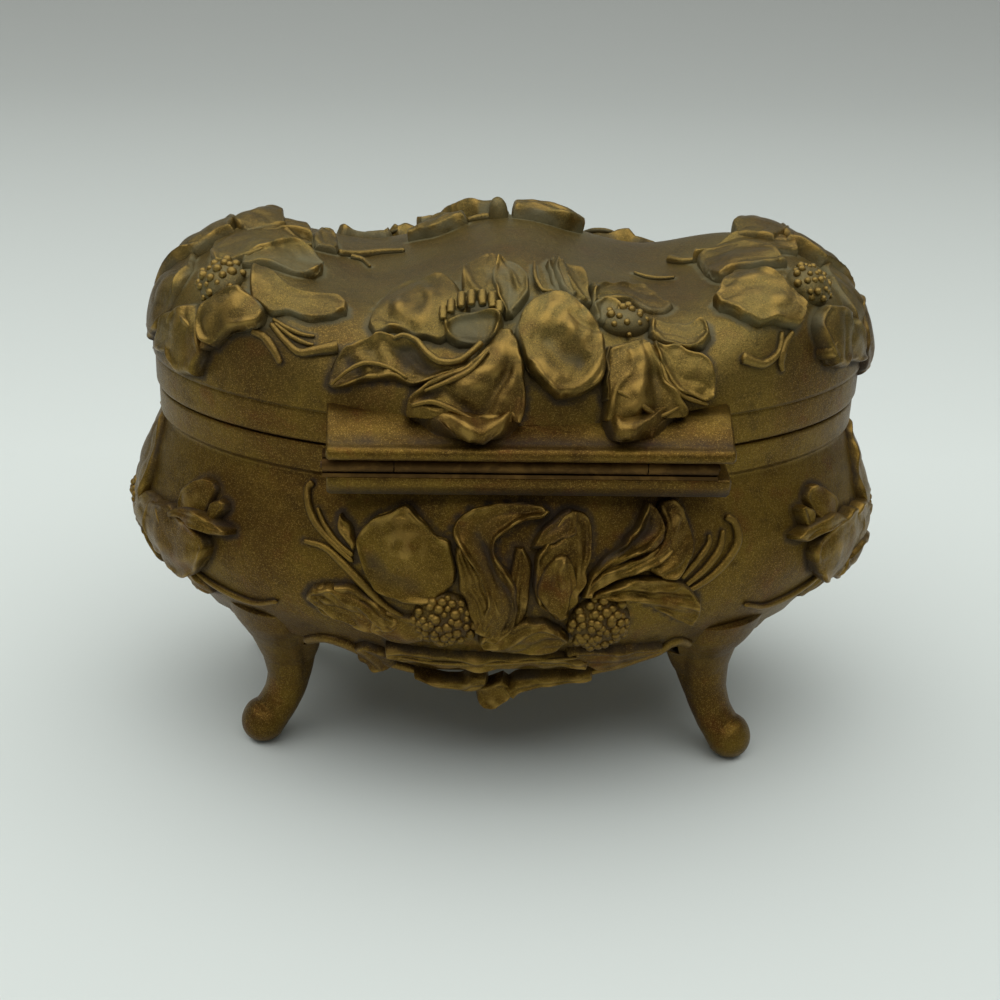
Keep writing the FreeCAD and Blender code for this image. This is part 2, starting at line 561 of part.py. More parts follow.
# Hinge: brass leaves with knuckles rolled round a steel pin.
def leaf(name, label, plate_bottom, knuckles, low_y, high_y, web_bottom, web_top):
    parts = [box(name + "_plate", "0 - hinge_half", low_y, plate_bottom, "2 * hinge_half",
                 high_y + " - " + low_y, "leaf_thick")]
    for number, (start, length) in enumerate(knuckles):
        parts.append(rod("%s_knuckle_%d" % (name, number), "knuckle_radius", start, length,
                         axis_place, axis_height))
        parts.append(box("%s_web_%d" % (name, number), start, axis_place + " - knuckle_radius",
                         web_bottom, length, "knuckle_radius", web_top + " - " + web_bottom))
    bore = rod(name + "_bore", "pin_radius + pin_play", "0 - hinge_half - 1",
               "2 * hinge_half + 2", axis_place, axis_height)
    return finish(cut(name, fuse(name + "_solid", parts), bore), label)


outer_length = "(hinge_half - lid_knuckle_half - knuckle_gap)"
leaf("lower_leaf", "body_hinge_leaf", ledge_top,
     [("0 - hinge_half", outer_length), ("lid_knuckle_half + knuckle_gap", outer_length)],
     "(rim_wide + leaf_clear)", "(%s + leaf_thick)" % axis_place, ledge_top, axis_height)
leaf("upper_leaf", "lid_hinge_leaf", "(%s - leaf_thick)" % block_bottom,
     [("0 - lid_knuckle_half", "2 * lid_knuckle_half")],
     "(rim_wide + lid_band_out + leaf_clear)", "(%s + leaf_gap)" % axis_place,
     axis_height, block_bottom)
pin = rod("pin", "pin_radius", "0 - hinge_half - pin_proud", "2 * (hinge_half + pin_proud)",
          axis_place, axis_height)
finish(pin, "hinge_pin")


# Feet: a leg drawn in at the ankle, with a toe that turns out and is flat underneath.
foot_table = [
    ("toe_reach", "toe_flat", "0"),
    ("toe_reach", "toe_radius - sole_slim", "toe_height / 3"),
    ("toe_reach", "toe_radius", "toe_height"),
    ("toe_reach - instep_in", "toe_radius - instep_slim", "(toe_height + ankle_height) / 2"),
    ("knee_reach + ankle_out", "ankle_radius", "ankle_height"),
    ("knee_reach + shin_out", "(ankle_radius + knee_radius) / 2",
     "(ankle_height + hem_height) / 2"),
    ("knee_reach", "knee_radius", "hem_height + knee_rise"),
    ("knee_reach", "knee_radius", "foot_top"),
]


def foot(label, foot_turn, side_x, side_y):
    turn = {(1, 1): "90 + " + foot_turn, (-1, 1): "270 - " + foot_turn,
            (-1, -1): "270 + " + foot_turn, (1, -1): "90 - " + foot_turn}[(side_x, side_y)]
    rings = []
    for number, (reach, broad, height) in enumerate(foot_table):
        rings.append(ring("%s_ring_%d" % (label, number), broad,
                          "foot_flatness * (%s)" % broad, height, foot_sides,
                          "%d * (%s) * cos(%s)" % (side_x, reach, foot_turn),
                          "%d * (%s) * sin(%s)" % (side_y, reach, foot_turn), turn))
    finish(cut(label + "_leg", stack(label + "_form", rings), body_outside), label)


for end, side_x in (("right", 1), ("left", -1)):
    for face, side_y in (("back", 1), ("front", -1)):
        foot("foot_%s_%s" % (face, end), end + "_foot_turn", side_x, side_y)


# Lining of the body: pasteboard and a padded cushion on the floor, silk round the wall.
def band(name, label, outer_table, thick):
    # Wall of even thickness that follows the rings of the table.
    inner_table = [("%s - %s" % (long, thick), "%s - %s" % (wide, thick), height)
                   for long, wide, height in outer_table]
    finish(cut(name, shell(name + "_outer", outer_table), shell(name + "_inner", inner_table)),
           label)


floor_long = "(rim_long - floor_in_long - lining_gap)"
floor_wide = "(rim_wide - floor_in_wide - lining_gap)"
finish(shell("card", [(floor_long, floor_wide, "floor_top"),
                      (floor_long, floor_wide, "floor_top + card_thick")]), "floor_card")
pad_foot = "(floor_top + card_thick)"
finish(shell("pad", [("%s * %s" % (floor_long, share), "%s * %s" % (floor_wide, share),
                      pad_foot + rise)
                     for share, rise in (("pad_edge_share", ""), ("pad_side_share", " + pad_side"),
                                         ("1", " + pad_shoulder"),
                                         ("pad_crown_share", " + pad_crown"))]), "floor_pad")

hip_long = "(rim_long - hip_in_long - wall)"
hip_wide = "(rim_wide + hip_out_wide - wall)"
band("wall_silk", "wall_lining", [
    ("(rim_long - floor_in_long + %s) / 2 - lining_gap" % hip_long,
     "(rim_wide - floor_in_wide + %s) / 2 - lining_gap" % hip_wide,
     "(floor_top + hip_height + cove) / 2"),
    (hip_long + " - lining_gap", hip_wide + " - lining_gap", "hip_height + cove"),
    ("rim_long + belly_out_long - wall - lining_gap",
     "rim_wide + belly_out_wide - wall - lining_gap", "belly_height"),
    ("rim_long - (rim_wall + wall - belly_out_long) / 2 - lining_gap",
     "rim_wide - (rim_wall + wall - belly_out_wide) / 2 - lining_gap",
     "(belly_height + rim_top) / 2"),
    ("rim_long - rim_wall - lining_gap", "rim_wide - rim_wall - lining_gap",
     "rim_top - lining_drop"),
], "lining_thick")
trim_long = "rim_long - rim_wall - lining_gap"
trim_wide = "rim_wide - rim_wall - lining_gap"
band("body_trim_ring", "body_trim", [(trim_long, trim_wide, "rim_top - lining_drop"),
                                     (trim_long, trim_wide, "rim_top - lining_drop + trim_thick")],
     "trim_thick")

# Lining of the lid.
hollow_long = "(rim_long - rim_wall - lining_gap)"
hollow_wide = "(rim_wide - rim_wall - lining_gap)"


def hollow_ring(share, height):
    return ("%s * %s" % (hollow_long, share), "%s * %s" % (hollow_wide, share), height)


card_roof = "(rim_top + hollow_roof_rise - lining_gap)"
finish(shell("upper_card", [hollow_ring("hollow_roof_share", card_roof + " - card_thick"),
                            hollow_ring("hollow_roof_share", card_roof)]), "lid_card")
pad_roof = "(%s - card_thick)" % card_roof
finish(shell("upper_pad", [
    hollow_ring("hollow_roof_share", pad_roof + " - lid_pad_depth"),
    hollow_ring("(lid_pad_share - 0.06)", pad_roof + " - 0.85 * lid_pad_depth"),
    hollow_ring("lid_pad_share", pad_roof + " - 0.6 * lid_pad_depth"),
    hollow_ring("(lid_pad_share - 0.1)", pad_roof + " - 0.3 * lid_pad_depth"),
    hollow_ring("hollow_roof_share", pad_roof),
]), "lid_pad")
band("lid_silk", "lid_lining", [
    hollow_ring("1", "rim_top + seam + lining_drop"),
    hollow_ring("1", "rim_top + hollow_wall_rise"),
    hollow_ring("hollow_cove_share", "rim_top + hollow_cove_rise"),
], "lining_thick")
band("lid_trim_ring", "lid_trim", [
    (trim_long, trim_wide, "rim_top + seam + lining_drop - trim_thick"),
    (trim_long, trim_wide, "rim_top + seam + lining_drop")], "trim_thick")

doc.recompute()

for thing in doc.Objects:
    if "Invalid" in thing.State or "Error" in thing.State:
        raise RuntimeError("%s did not recompute" % thing.Name)
os.makedirs("parts", exist_ok=True)
facets = 0
for piece in nodes:
    if piece.Shape.isNull() or not piece.Shape.isValid() or not piece.Shape.Solids:
        raise RuntimeError("%s has no valid solid" % piece.Label)
    piece.Shape.exportStep("parts/%s.step" % piece.Label)
    span = piece.Shape.BoundBox
    mesh = piece.Shape.copy().tessellate(0.0002 * span.DiagonalLength)
    facets += len(mesh[1])
    print("%-18s solids %d volume %.1f facets %d" % (piece.Label, len(piece.Shape.Solids),
                                                     piece.Shape.Volume, len(mesh[1])))
print("facets in all", facets)
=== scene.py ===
import math

import bpy
import numpy as np
from mathutils import Matrix


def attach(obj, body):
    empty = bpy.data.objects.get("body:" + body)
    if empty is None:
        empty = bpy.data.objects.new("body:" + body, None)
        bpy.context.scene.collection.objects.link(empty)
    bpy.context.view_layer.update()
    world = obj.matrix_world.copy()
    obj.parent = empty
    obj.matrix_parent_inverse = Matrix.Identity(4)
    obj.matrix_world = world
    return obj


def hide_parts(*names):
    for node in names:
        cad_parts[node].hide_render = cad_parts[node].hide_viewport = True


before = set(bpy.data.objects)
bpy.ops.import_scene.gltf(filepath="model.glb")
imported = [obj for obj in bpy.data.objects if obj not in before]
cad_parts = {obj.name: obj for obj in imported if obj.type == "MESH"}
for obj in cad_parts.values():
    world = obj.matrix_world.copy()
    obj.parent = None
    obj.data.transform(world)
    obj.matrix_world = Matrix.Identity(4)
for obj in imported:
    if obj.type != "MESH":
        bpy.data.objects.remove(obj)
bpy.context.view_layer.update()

# Shapes are worked out in millimetres, +Z up, back with the hinge towards +Y, and scaled in the mesh.
millimetre = 0.001

cameraValues = dict(lens=72, sensor=36, distance=396, height=25.0, swing=-3.7, roll=2.1,
                    aim=(0.8, 0.0, 42.8))


def makeCamera(values):
    # The camera stands on a sphere round the aim: swing turns it about Z, height lifts it, roll tips it.
    height, swing, roll = (math.radians(values[key]) for key in ("height", "swing", "roll"))
    back = np.array([-math.sin(swing) * math.cos(height), math.cos(swing) * math.cos(height),
                     math.sin(height)])
    right = np.cross(-back, [0, 0, 1])
    right /= np.linalg.norm(right)
    up = np.cross(back, right)
    axes = np.eye(4)
    axes[:3, 0] = right * math.cos(roll) + up * math.sin(roll)
    axes[:3, 1] = up * math.cos(roll) - right * math.sin(roll)
    axes[:3, 2] = back
    axes[:3, 3] = (np.array(values["aim"]) + values["distance"] * back) * millimetre
    lens = bpy.data.cameras.new("viewpoint")
    lens.lens = values["lens"]
    lens.sensor_width = values["sensor"]
    lens.clip_start = 0.01
    camera = bpy.data.objects.new("viewpoint", lens)
    bpy.context.scene.collection.objects.link(camera)
    camera.matrix_world = Matrix(axes.tolist())
    bpy.context.scene.camera = camera


makeCamera(cameraValues)
print("camera made")


def smoothStep(low, high, value):
    share = np.clip((value - low) / (high - low), 0, 1)
    return share * share * (3 - 2 * share)


def bump(value, middle, reach):
    return np.exp(-((value - middle) / reach) ** 2)


def alongCurve(points, count, spread=0.0):
    # Catmull-Rom curve through the points, sampled evenly by point number; spread packs the ends.
    points = np.asarray(points, float)
    ends = np.vstack([2 * points[0] - points[1], points, 2 * points[-1] - points[-2]])
    share = np.linspace(0, 1, count)
    share = (1 - spread) * share + spread * (0.5 - 0.5 * np.cos(math.pi * share))
    place = share * (len(points) - 1)
    first = np.minimum(place.astype(int), len(points) - 2)
    part = (place - first)[:, None]
    before, here, after, later = (ends[first + step] for step in range(4))
    return 0.5 * (2 * here + (after - before) * part
                  + (2 * before - 5 * here + 4 * after - later) * part ** 2
                  + (3 * here - before - 3 * after + later) * part ** 3)


def gridFaces(rows, columns, closed=False, start=0):
    # Quads of a grid of vertices, row after row; closed joins the last column to the first.
    row, column = np.meshgrid(np.arange(rows - 1), np.arange(columns if closed else columns - 1),
                              indexing="ij")
    after = (column + 1) % columns
    return start + np.stack([row * columns + column, row * columns + after,
                             (row + 1) * columns + after, (row + 1) * columns + column],
                            -1).reshape(-1, 4)


def fanFaces(ring, tip, flip=False):
    # Triangles from a closed ring of vertices to one tip.
    ring = np.asarray(ring)
    after = np.roll(ring, -1)
    tips = np.full(len(ring), tip)
    return np.stack([after, ring, tips] if flip else [ring, after, tips], -1)


def joinParts(parts):
    # One list of vertices, faces and marks from several parts.
    places, faces, marks, start = [], [], {}, 0
    for part in parts:
        places.append(part["places"])
        faces += [group + start for group in part["faces"]]
        start += len(part["places"])
        for key in ("rubbed", "dust"):
            value = part.get(key, 0.0)
            marks.setdefault(key, []).append(np.broadcast_to(value, len(part["places"])))
    return dict(places=np.vstack(places), faces=faces,
                **{key: np.concatenate(value) for key, value in marks.items()})


def makePiece(name, part, body, material, replaces=(), smooth=True):
    # Mesh of a part's vertices and faces, riding on a body of the frame.
    places = np.asarray(part["places"], float) * millimetre
    groups = [group for group in part["faces"] if len(group)]
    corners = np.concatenate([group.ravel() for group in groups])
    sizes = np.concatenate([np.full(len(group), group.shape[1]) for group in groups])
    starts = np.concatenate([[0], np.cumsum(sizes)[:-1]])
    mesh = bpy.data.meshes.new(name)
    mesh.vertices.add(len(places))
    mesh.vertices.foreach_set("co", places.astype(np.float32).ravel())
    mesh.loops.add(len(corners))
    mesh.loops.foreach_set("vertex_index", corners.astype(np.int32))
    mesh.polygons.add(len(sizes))
    mesh.polygons.foreach_set("loop_start", starts.astype(np.int32))
    mesh.polygons.foreach_set("use_smooth", np.full(len(sizes), smooth))
    mesh.update(calc_edges=True)
    mesh.validate()
    for key in ("rubbed", "dust"):
        if key in part:
            mark = mesh.attributes.new(key, "FLOAT", "POINT")
            mark.data.foreach_set("value", np.broadcast_to(part[key], len(places))
                                  .astype(np.float32))
    mesh.materials.append(material)
    piece = bpy.data.objects.new(name, mesh)
    bpy.context.scene.collection.objects.link(piece)
    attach(piece, body)
    if replaces:
        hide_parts(*replaces)
    return piece


class Wire:
    # A node socket that does sums: each sign adds a Math node.
    def __init__(self, material, socket):
        self.material, self.socket = material, socket

    def sum(self, operation, *values):
        return self.material.node("ShaderNodeMath", dict(operation=operation), *values)

    def __add__(self, other):
        return self.sum("ADD", self, other)

    def __sub__(self, other):
        return self.sum("SUBTRACT", self, other)

    def __rsub__(self, other):
        return self.sum("SUBTRACT", other, self)

    def __mul__(self, other):
        return self.sum("MULTIPLY", self, other)

    def __pow__(self, other):
        return self.sum("POWER", self, other)

    __radd__, __rmul__ = __add__, __mul__

    def ramp(self, low, high):
        # 0 below low, 1 above high, smooth between.
        return self.material.node("ShaderNodeMapRange", dict(interpolation_type="SMOOTHSTEP"),
                                  self, low, high)


class Finish:
    # A material under construction: node() adds any node, the others are short forms of it.
    def __init__(self, name):
        self.material = bpy.data.materials.new(name)
        self.material.use_nodes = True
        self.tree = self.material.node_tree
        self.shader = self.tree.nodes["Principled BSDF"]

    def node(self, kind, settings, *values, out=0, **named):
        made = self.tree.nodes.new(kind)
        for key, value in settings.items():
            if key == "stops":
                elements = made.color_ramp.elements
                while len(elements) < len(value):
                    elements.new(0.5)
                for element, (place, shade) in zip(elements, value):
                    element.position, element.color = place, (*shade, 1)
            else:
                setattr(made, key, value)
        pairs = list(enumerate(values)) + [(key.replace("_", " "), value)
                                           for key, value in named.items()]
        for key, value in pairs:
            if isinstance(value, Wire):
                self.tree.links.new(value.socket, made.inputs[key])
            elif value is not None:
                made.inputs[key].default_value = value
        return Wire(self, made.outputs[out])

    def place(self, scale=(1, 1, 1)):
        # Place on the object, in millimetres.
        spot = self.node("ShaderNodeTexCoord", {}, out="Object")
        return self.node("ShaderNodeMapping", {}, Vector=spot,
                         Scale=tuple(1 / millimetre * value for value in scale))

    def noise(self, spot, scale, detail=3.0, roughness=0.5, distortion=0.0):
        return self.node("ShaderNodeTexNoise", {}, Vector=spot, Scale=scale, Detail=detail,
                         Roughness=roughness, Distortion=distortion)

    def blend(self, share, low, high, mode="MIX"):
        # Colour mix; low and high are colours or wires.
        made = self.tree.nodes.new("ShaderNodeMix")
        made.data_type, made.blend_type = "RGBA", mode
        for key, value in ((0, share), (6, low), (7, high)):
            if isinstance(value, Wire):
                self.tree.links.new(value.socket, made.inputs[key])
            elif key:
                made.inputs[key].default_value = (*value, 1)
            else:
                made.inputs[key].default_value = value
        return Wire(self, made.outputs[2])

    def mark(self, name):
        return self.node("ShaderNodeAttribute", dict(attribute_name=name), out="Fac")

    def feed(self, **values):
        for key, value in values.items():
            socket = self.shader.inputs[key.replace("_", " ")]
            if isinstance(value, Wire):
                self.tree.links.new(value.socket, socket)
            else:
                socket.default_value = value
        return self.material


def linear(red, green, blue):
    # A colour as written on screen, 0 to 255, to the light values that the shader takes.
    share = np.array([red, green, blue]) / 255
    return tuple(np.where(share <= 0.04045, share / 12.92, ((share + 0.055) / 1.055) ** 2.4)
                 .tolist())


# Of these colours, the near-black one is painted shade for hollows low down, and the pale grey-olive one
# is dust for hollows high on the lid. The bright one also serves painted glints and painted highlights.
# The greyish one that lightens the top stands for a dust film and painted top light.
giltValues = dict(gold=(110, 86, 26), bronze=(86, 61, 16), shade=(46, 30, 9),
                  copper=(98, 50, 18), bright=(164, 132, 64), dust=(108, 104, 74),
                  paintedShade=(26, 15, 4), dustFilmAndTopLight=(116, 106, 62), roughness=0.42, grain=4.0, metal=0.85)


def giltFinish(name, values, copper=0.0):
    # Bronze-powder paint: a warm gold, patchy towards brown, with fine flecks, the bright ones painted
    # glints. It is brighter on raised parts, partly rubbed wear and partly painted highlight. Hollows hold
    # pale dust on the lid and painted shade lower down, and a film of dust with painted top light
    # greys and lightens the top.
    finish = Finish(name)
    spot = finish.place()
    high = finish.node("ShaderNodeSeparateXYZ", {}, spot, out=2)
    clouds = finish.noise(spot, 0.055, 4, 0.6)
    patches = finish.noise(spot, 0.16, 5, 0.62, 0.4)
    grain = finish.noise(spot, values["grain"], 2, 0.6)
    flakes = finish.node("ShaderNodeTexVoronoi", {}, Vector=spot, Scale=6.5, out="Color")
    glint = finish.node("ShaderNodeSeparateColor", {}, flakes, out=0)
    rubbed, dust = finish.mark("rubbed"), finish.mark("dust")
    colour = finish.blend(clouds.ramp(0.34, 0.66), linear(*values["bronze"]),
                          linear(*values["gold"]))
    colour = finish.blend(patches.ramp(0.52, 0.72) * (0.4 + copper), colour,
                          linear(*values["copper"]))
    colour = finish.blend(patches.ramp(0.50, 0.26) * 0.55, colour, linear(*values["shade"]))
    # Top of the lid lighter and greyer: partly a dust film, partly painted light from above.
    colour = finish.blend(high.ramp(72, 94) * (clouds * 0.9), colour, linear(*values["dustFilmAndTopLight"]))
    # Bright flecks are painted glints; the dark flecks below are a darker grain in the paint.
    colour = finish.blend(glint.ramp(0.70, 1.0) * 0.45, colour, linear(*values["bright"]))
    colour = finish.blend(glint.ramp(0.32, 0.0) * 0.4, colour, linear(*values["shade"]))
    # Raised lips and tops brighter: partly rubbed wear, partly painted highlight.
    colour = finish.blend(rubbed.ramp(0.15, 1.0) * 0.55, colour, linear(*values["bright"]))
    # Hollows and outlines: painted shade below the lid top, pale dust high on the lid.
    dustAndShadeAmount = dust.ramp(0.0, 1.0) * patches.ramp(0.24, 0.56)
    hollow = finish.blend(high.ramp(83, 92), linear(*values["paintedShade"]), linear(*values["dust"]))
    colour = finish.blend(dustAndShadeAmount * 0.75, colour, hollow)
    lumps = finish.noise(spot, 0.45, 3, 0.55)
    height = lumps * 0.35 + grain * 0.10 + glint * 0.035
    normal = finish.node("ShaderNodeBump", {}, Strength=0.9, Distance=0.0006, Height=height)
    rough = values["roughness"] + (grain - 0.5) * 0.25 + dustAndShadeAmount * 0.25 - rubbed * 0.08
    return finish.feed(Base_Color=colour, Roughness=rough, Metallic=values["metal"] - dustAndShadeAmount * 0.5,
                       Normal=normal)


# Outside of the body: height, half length and half width of each oval, from the rim down.
bodyValues = dict(
    rings=((68.5, 66.5, 38.5), (67.0, 66.55, 38.55), (64.6, 66.5, 38.5), (63.3, 66.45, 38.45),
           (62.7, 65.9, 37.9), (62.0, 65.55, 37.6), (60.6, 66.1, 38.25), (57.0, 67.7, 40.2),
           (50.0, 70.1, 43.1), (43.0, 70.6, 44.0), (36.0, 67.3, 43.0), (30.0, 62.0, 39.7),
           (27.0, 59.8, 37.8), (24.0, 57.8, 36.0), (19.5, 56.0, 34.6)),
    cavity=((68.5, 63.0, 35.0), (64.0, 63.1, 35.2), (55.75, 65.6, 38.3), (43.0, 68.3, 41.6),
            (36.0, 65.2, 40.4), (31.0, 60.9, 38.0), (28.2, 57.4, 35.2), (25.0, 53.0, 32.5)),
    hem=28.6, hemDropLong=4.1, hemRise=1.2, hemDropEnd=3.0, hemThick=2.2, floor=23.0)
lidValues = dict(long=67.5, wide=39.5, foot=75.2, height=15.2, squareLong=12.0, squareWide=3.0,
                 roundLong=2.3, roundWide=1.75, swell=6.8, swellReach=15.0, endSwell=4.3,
                 endPlace=48.0, endReach=13.5, waist=1.1, waistPlace=27.0, waistReach=8.0,
                 band=((75.6, -0.15), (75.25, -0.55), (74.95, -0.62), (74.7, -0.5), (74.4, -0.42),
                       (73.0, -0.40), (70.6, -0.42), (69.5, -0.45), (69.1, -0.62), (69.0, -1.0)),
                 hollow=((69.0, 63.0, 35.0), (76.5, 63.0, 35.0), (81.0, 59.4, 33.0),
                         (84.6, 50.4, 28.0), (87.4, 30.6, 17.0)),
                 block=34.5, blockBack=41.0, blockLow=70.8, blockTop=75.2, bead=2.0,
                 beadHeight=73.2)

bodyTable = alongCurve(bodyValues["rings"], 600)[::-1]


def bodyHalves(height):
    # Half length and half width of the body's outside at a height.
    return (np.interp(height, bodyTable[:, 0], bodyTable[:, 1]),
            np.interp(height, bodyTable[:, 0], bodyTable[:, 2]))


def domeHeight(x, y, values=lidValues):
    # A squared-off dome: one minus a power of the reach, rooted, plus a swell in the middle
    # and one at each end, with a waist between them. Both powers turn from the long axis to the short one.
    reach = np.hypot(x / values["long"], y / values["wide"])
    lengthways = (x / values["long"]) ** 2 / np.maximum(reach, 1e-9) ** 2
    square = values["squareWide"] + (values["squareLong"] - values["squareWide"]) * lengthways
    flat = values["roundWide"] + (values["roundLong"] - values["roundWide"]) * lengthways
    dome = np.clip(1 - reach ** square, 0, None) ** (1 / flat)
    swell = (values["swell"] * bump(x, 0, values["swellReach"])
             + values["endSwell"] * bump(np.abs(x), values["endPlace"], values["endReach"])
             - values["waist"] * bump(np.abs(x), values["waistPlace"], values["waistReach"]))
    return values["foot"] + dome * values["height"] + swell * dome ** 1.5


def insideBody(places):
    halfLong, halfWide = bodyHalves(places[..., 2])
    return (places[..., 0] / halfLong) ** 2 + (places[..., 1] / halfWide) ** 2 < 1


def insideLid(places, values=lidValues):
    # The dome, the band below it and the hinge block with its bead.
    x, y, z = places[..., 0], places[..., 1], places[..., 2]
    reach = np.hypot(x / values["long"], y / values["wide"])
    dome = (reach < 1) & (z < domeHeight(x, y)) & (z > values["foot"])
    band = (np.hypot(x / 67, y / 39) < 1) & (z <= 75.4)
    back = values["blockBack"]
    block = ((z < values["blockTop"]) & (y < back)
             | (np.hypot(y - back, z - values["beadHeight"]) < values["bead"]))
    return dome | band | (block & (np.abs(x) < values["block"]) & (y > 20))


class Canvas:
    # A flat drawing held against a shell: right and up lie in it and out points to the viewer.
    # Its depths are found once on a half-millimetre grid by halving the way in, then softened.
    def __init__(self, inside, yaw, tilt, span, soften=1):
        yaw, tilt = math.radians(yaw), math.radians(tilt)
        ahead = np.array([math.sin(yaw), -math.cos(yaw), 0])
        self.right = np.array([math.cos(yaw), math.sin(yaw), 0])
        self.out = ahead * math.cos(tilt) + np.array([0, 0, math.sin(tilt)])
        self.up = np.array([0, 0, math.cos(tilt)]) - ahead * math.sin(tilt)
        self.low = np.array([span[0], span[1]], float)
        count = ((np.array(span[2:]) - self.low) * 2).astype(int) + 1
        across, high = np.meshgrid(np.arange(count[0]) / 2 + span[0],
                                   np.arange(count[1]) / 2 + span[1])
        base = across[..., None] * self.right + high[..., None] * self.up
        near, far = np.full(across.shape, 20.0), np.full(across.shape, 130.0)
        for halving in range(30):
            middle = (near + far) / 2
            hit = inside(base + middle[..., None] * self.out)
            near, far = np.where(hit, middle, near), np.where(hit, far, middle)
        for round in range(soften):
            for axis in (0, 1):
                side = [np.take(near, np.clip(np.arange(near.shape[axis]) + step, 0,
                                              near.shape[axis] - 1), axis) for step in (-1, 1)]
                near = near / 2 + side[0] / 4 + side[1] / 4
        self.depths = near
        self.slopes = [np.gradient(near, 0.5, axis=axis) for axis in (1, 0)]

    def read(self, table, spots):
        # Value of a table at spots, between its four nearest points.
        place = (spots - self.low) * 2
        limit = np.array(table.shape)[::-1] - 1.001
        place = np.clip(place, 0, limit)
        cell = place.astype(int)
        part = place - cell
        column, row = cell[..., 0], cell[..., 1]
        low = table[row, column] * (1 - part[..., 0]) + table[row, column + 1] * part[..., 0]
        high = (table[row + 1, column] * (1 - part[..., 0])
                + table[row + 1, column + 1] * part[..., 0])
        return low * (1 - part[..., 1]) + high * part[..., 1]

    def normal(self, spots):
        slope = [self.read(table, spots)[..., None] for table in self.slopes]
        ray = self.out - slope[0] * self.right - slope[1] * self.up
        return ray / np.linalg.norm(ray, axis=-1, keepdims=True)

    def point(self, spots, height):
        # Places that stand a height off the shell, at spots of the drawing.
        base = spots[..., :1] * self.right + spots[..., 1:] * self.up
        return (base + self.read(self.depths, spots)[..., None] * self.out
                + np.asarray(height)[..., None] * self.normal(spots))


def ripple(spots, reach, seed):
    # Smooth waves over a drawing, about -1 to 1: a sum of sines in random directions.
    random = np.random.default_rng(seed)
    angle, start = random.uniform(0, 2 * math.pi, (2, 7))
    rate = 2 * math.pi / reach * random.uniform(0.6, 1.5, 7)
    return np.sin(spots @ (np.stack([np.cos(angle), np.sin(angle)]) * rate) + start).sum(-1) / 3


def leaf(canvas, stations, lift=1.2, crown=0.6, lip=(0.5, 0.5), veins=2, veinDepth=0.22,
         ruffle=0.3, waves=2.5, lean=0.0, edge=0.6, blend=2.0, sink=0.8, rows=64, columns=40,
         ridges=(), lipInset=0.6, lipWidth=0.45, roll=0.3):
    # Leaf or petal between a left and a right edge, each a smooth curve from base to tip.
    # Height is lift plus a crown across, rolled lips inside the edges that come and go, creased
    # veins along, waves at the sides and drawn ridges; it drops as a quarter round to below the
    # shell at the outline, slowly at the base.
    stations = np.asarray(stations, float)
    seed = int(abs(stations).sum() * 10)
    left = alongCurve(stations[:, :2], rows, 0.9)
    right = alongCurve(stations[:, 2:], rows, 0.9)
    width = np.linalg.norm(right - left, axis=1, keepdims=True)
    side = (right - left) / np.maximum(width, 1e-6)
    wander = np.minimum(0.22, 0.05 * width)
    left = left + side * wander * ripple(left, 4.5, seed + 2)[:, None]
    right = right + side * wander * ripple(right, 4.5, seed + 3)[:, None]
    across = (0.5 - 0.5 * np.cos(np.linspace(0, math.pi, columns)))[None, :]
    along = np.linspace(0, 1, rows)[:, None]
    spots = left[:, None] * (1 - across[..., None]) + right[:, None] * across[..., None]
    ends = [spots[0], spots[-1]]
    outline = np.concatenate([left, right] + ends)
    gap = spots[:, :, None] - outline[None, None]
    distance = np.sqrt((gap ** 2).sum(-1)).min(-1)
    share = 2 * across - 1
    slow, fine = ripple(spots, 9.0, seed), ripple(spots, 3.4, seed + 1)
    lifts = np.interp(along, np.linspace(0, 1, np.size(lift)), np.atleast_1d(lift))
    crowns = np.interp(along, np.linspace(0, 1, np.size(crown)), np.atleast_1d(crown))
    height = crowns * (1 - share ** 2) + lean * share + roll * slow + 0.05 * fine
    rolled = bump(distance, lipInset, lipWidth) * (lip[0] + (lip[1] - lip[0]) * smoothStep(
        0.35, 0.65, across)) * np.clip(0.8 + 0.7 * slow, 0.1, 1.6)
    height = height + rolled
    inner = smoothStep(0.2, 1.6, distance)
    if veins:
        turn = math.pi * veins * (across + 0.05 * slow) + 0.5 * slow + seed % 7
        height = height + veinDepth * (1.6 * np.abs(np.sin(turn)) ** 0.7 - 1) * inner
    height = height + ruffle * np.sin(2 * math.pi * waves * along + 1.5 * share
                                      + seed % 5) * share ** 2 * smoothStep(0, 0.3, along)
    for amount, width, path in ridges:
        path = alongCurve(path, 40)
        away = np.sqrt(((spots[:, :, None] - path[None, None]) ** 2).sum(-1)).min(-1)
        height = height + amount * bump(away, 0, width)
    reach = edge * (1 + blend * (1 - smoothStep(0.0, 0.4, along))) * np.clip(1 + 0.3 * fine,
                                                                            0.7, 1.5)
    reach = np.minimum(reach, 0.8 * distance.max(1, keepdims=True) + 0.3)
    fall = np.sqrt(1 - (1 - np.clip(distance / reach, 0, 1)) ** 2)
    top = -sink + (np.maximum(height + lifts, 0.15) + sink) * fall
    places = canvas.point(spots, top)
    number = np.arange(rows * columns).reshape(rows, columns)
    under = np.stack([number[:-1, 0], number[1:, 0], number[1:, -1], number[:-1, -1]], -1)
    # Marks for the gilt: raised lips and high parts brighter, partly rubbed wear and partly painted
    # highlight; near the outline and in low parts darker, painted shade, with pale dust instead high on
    # the lid.
    return dict(places=places.reshape(-1, 3), faces=[gridFaces(rows, columns)[:, ::-1], under],
                rubbed=(np.clip(1.1 * rolled + 0.8 * height, 0, 1) * fall
                        * np.clip(0.6 + 0.6 * fine, 0, 1)).ravel(),
                dust=np.clip(1 - smoothStep(0.0, 1.0, distance) - 0.9 * height, 0, 1).ravel(),
                outline=canvas.point(outline, np.zeros(len(outline))))


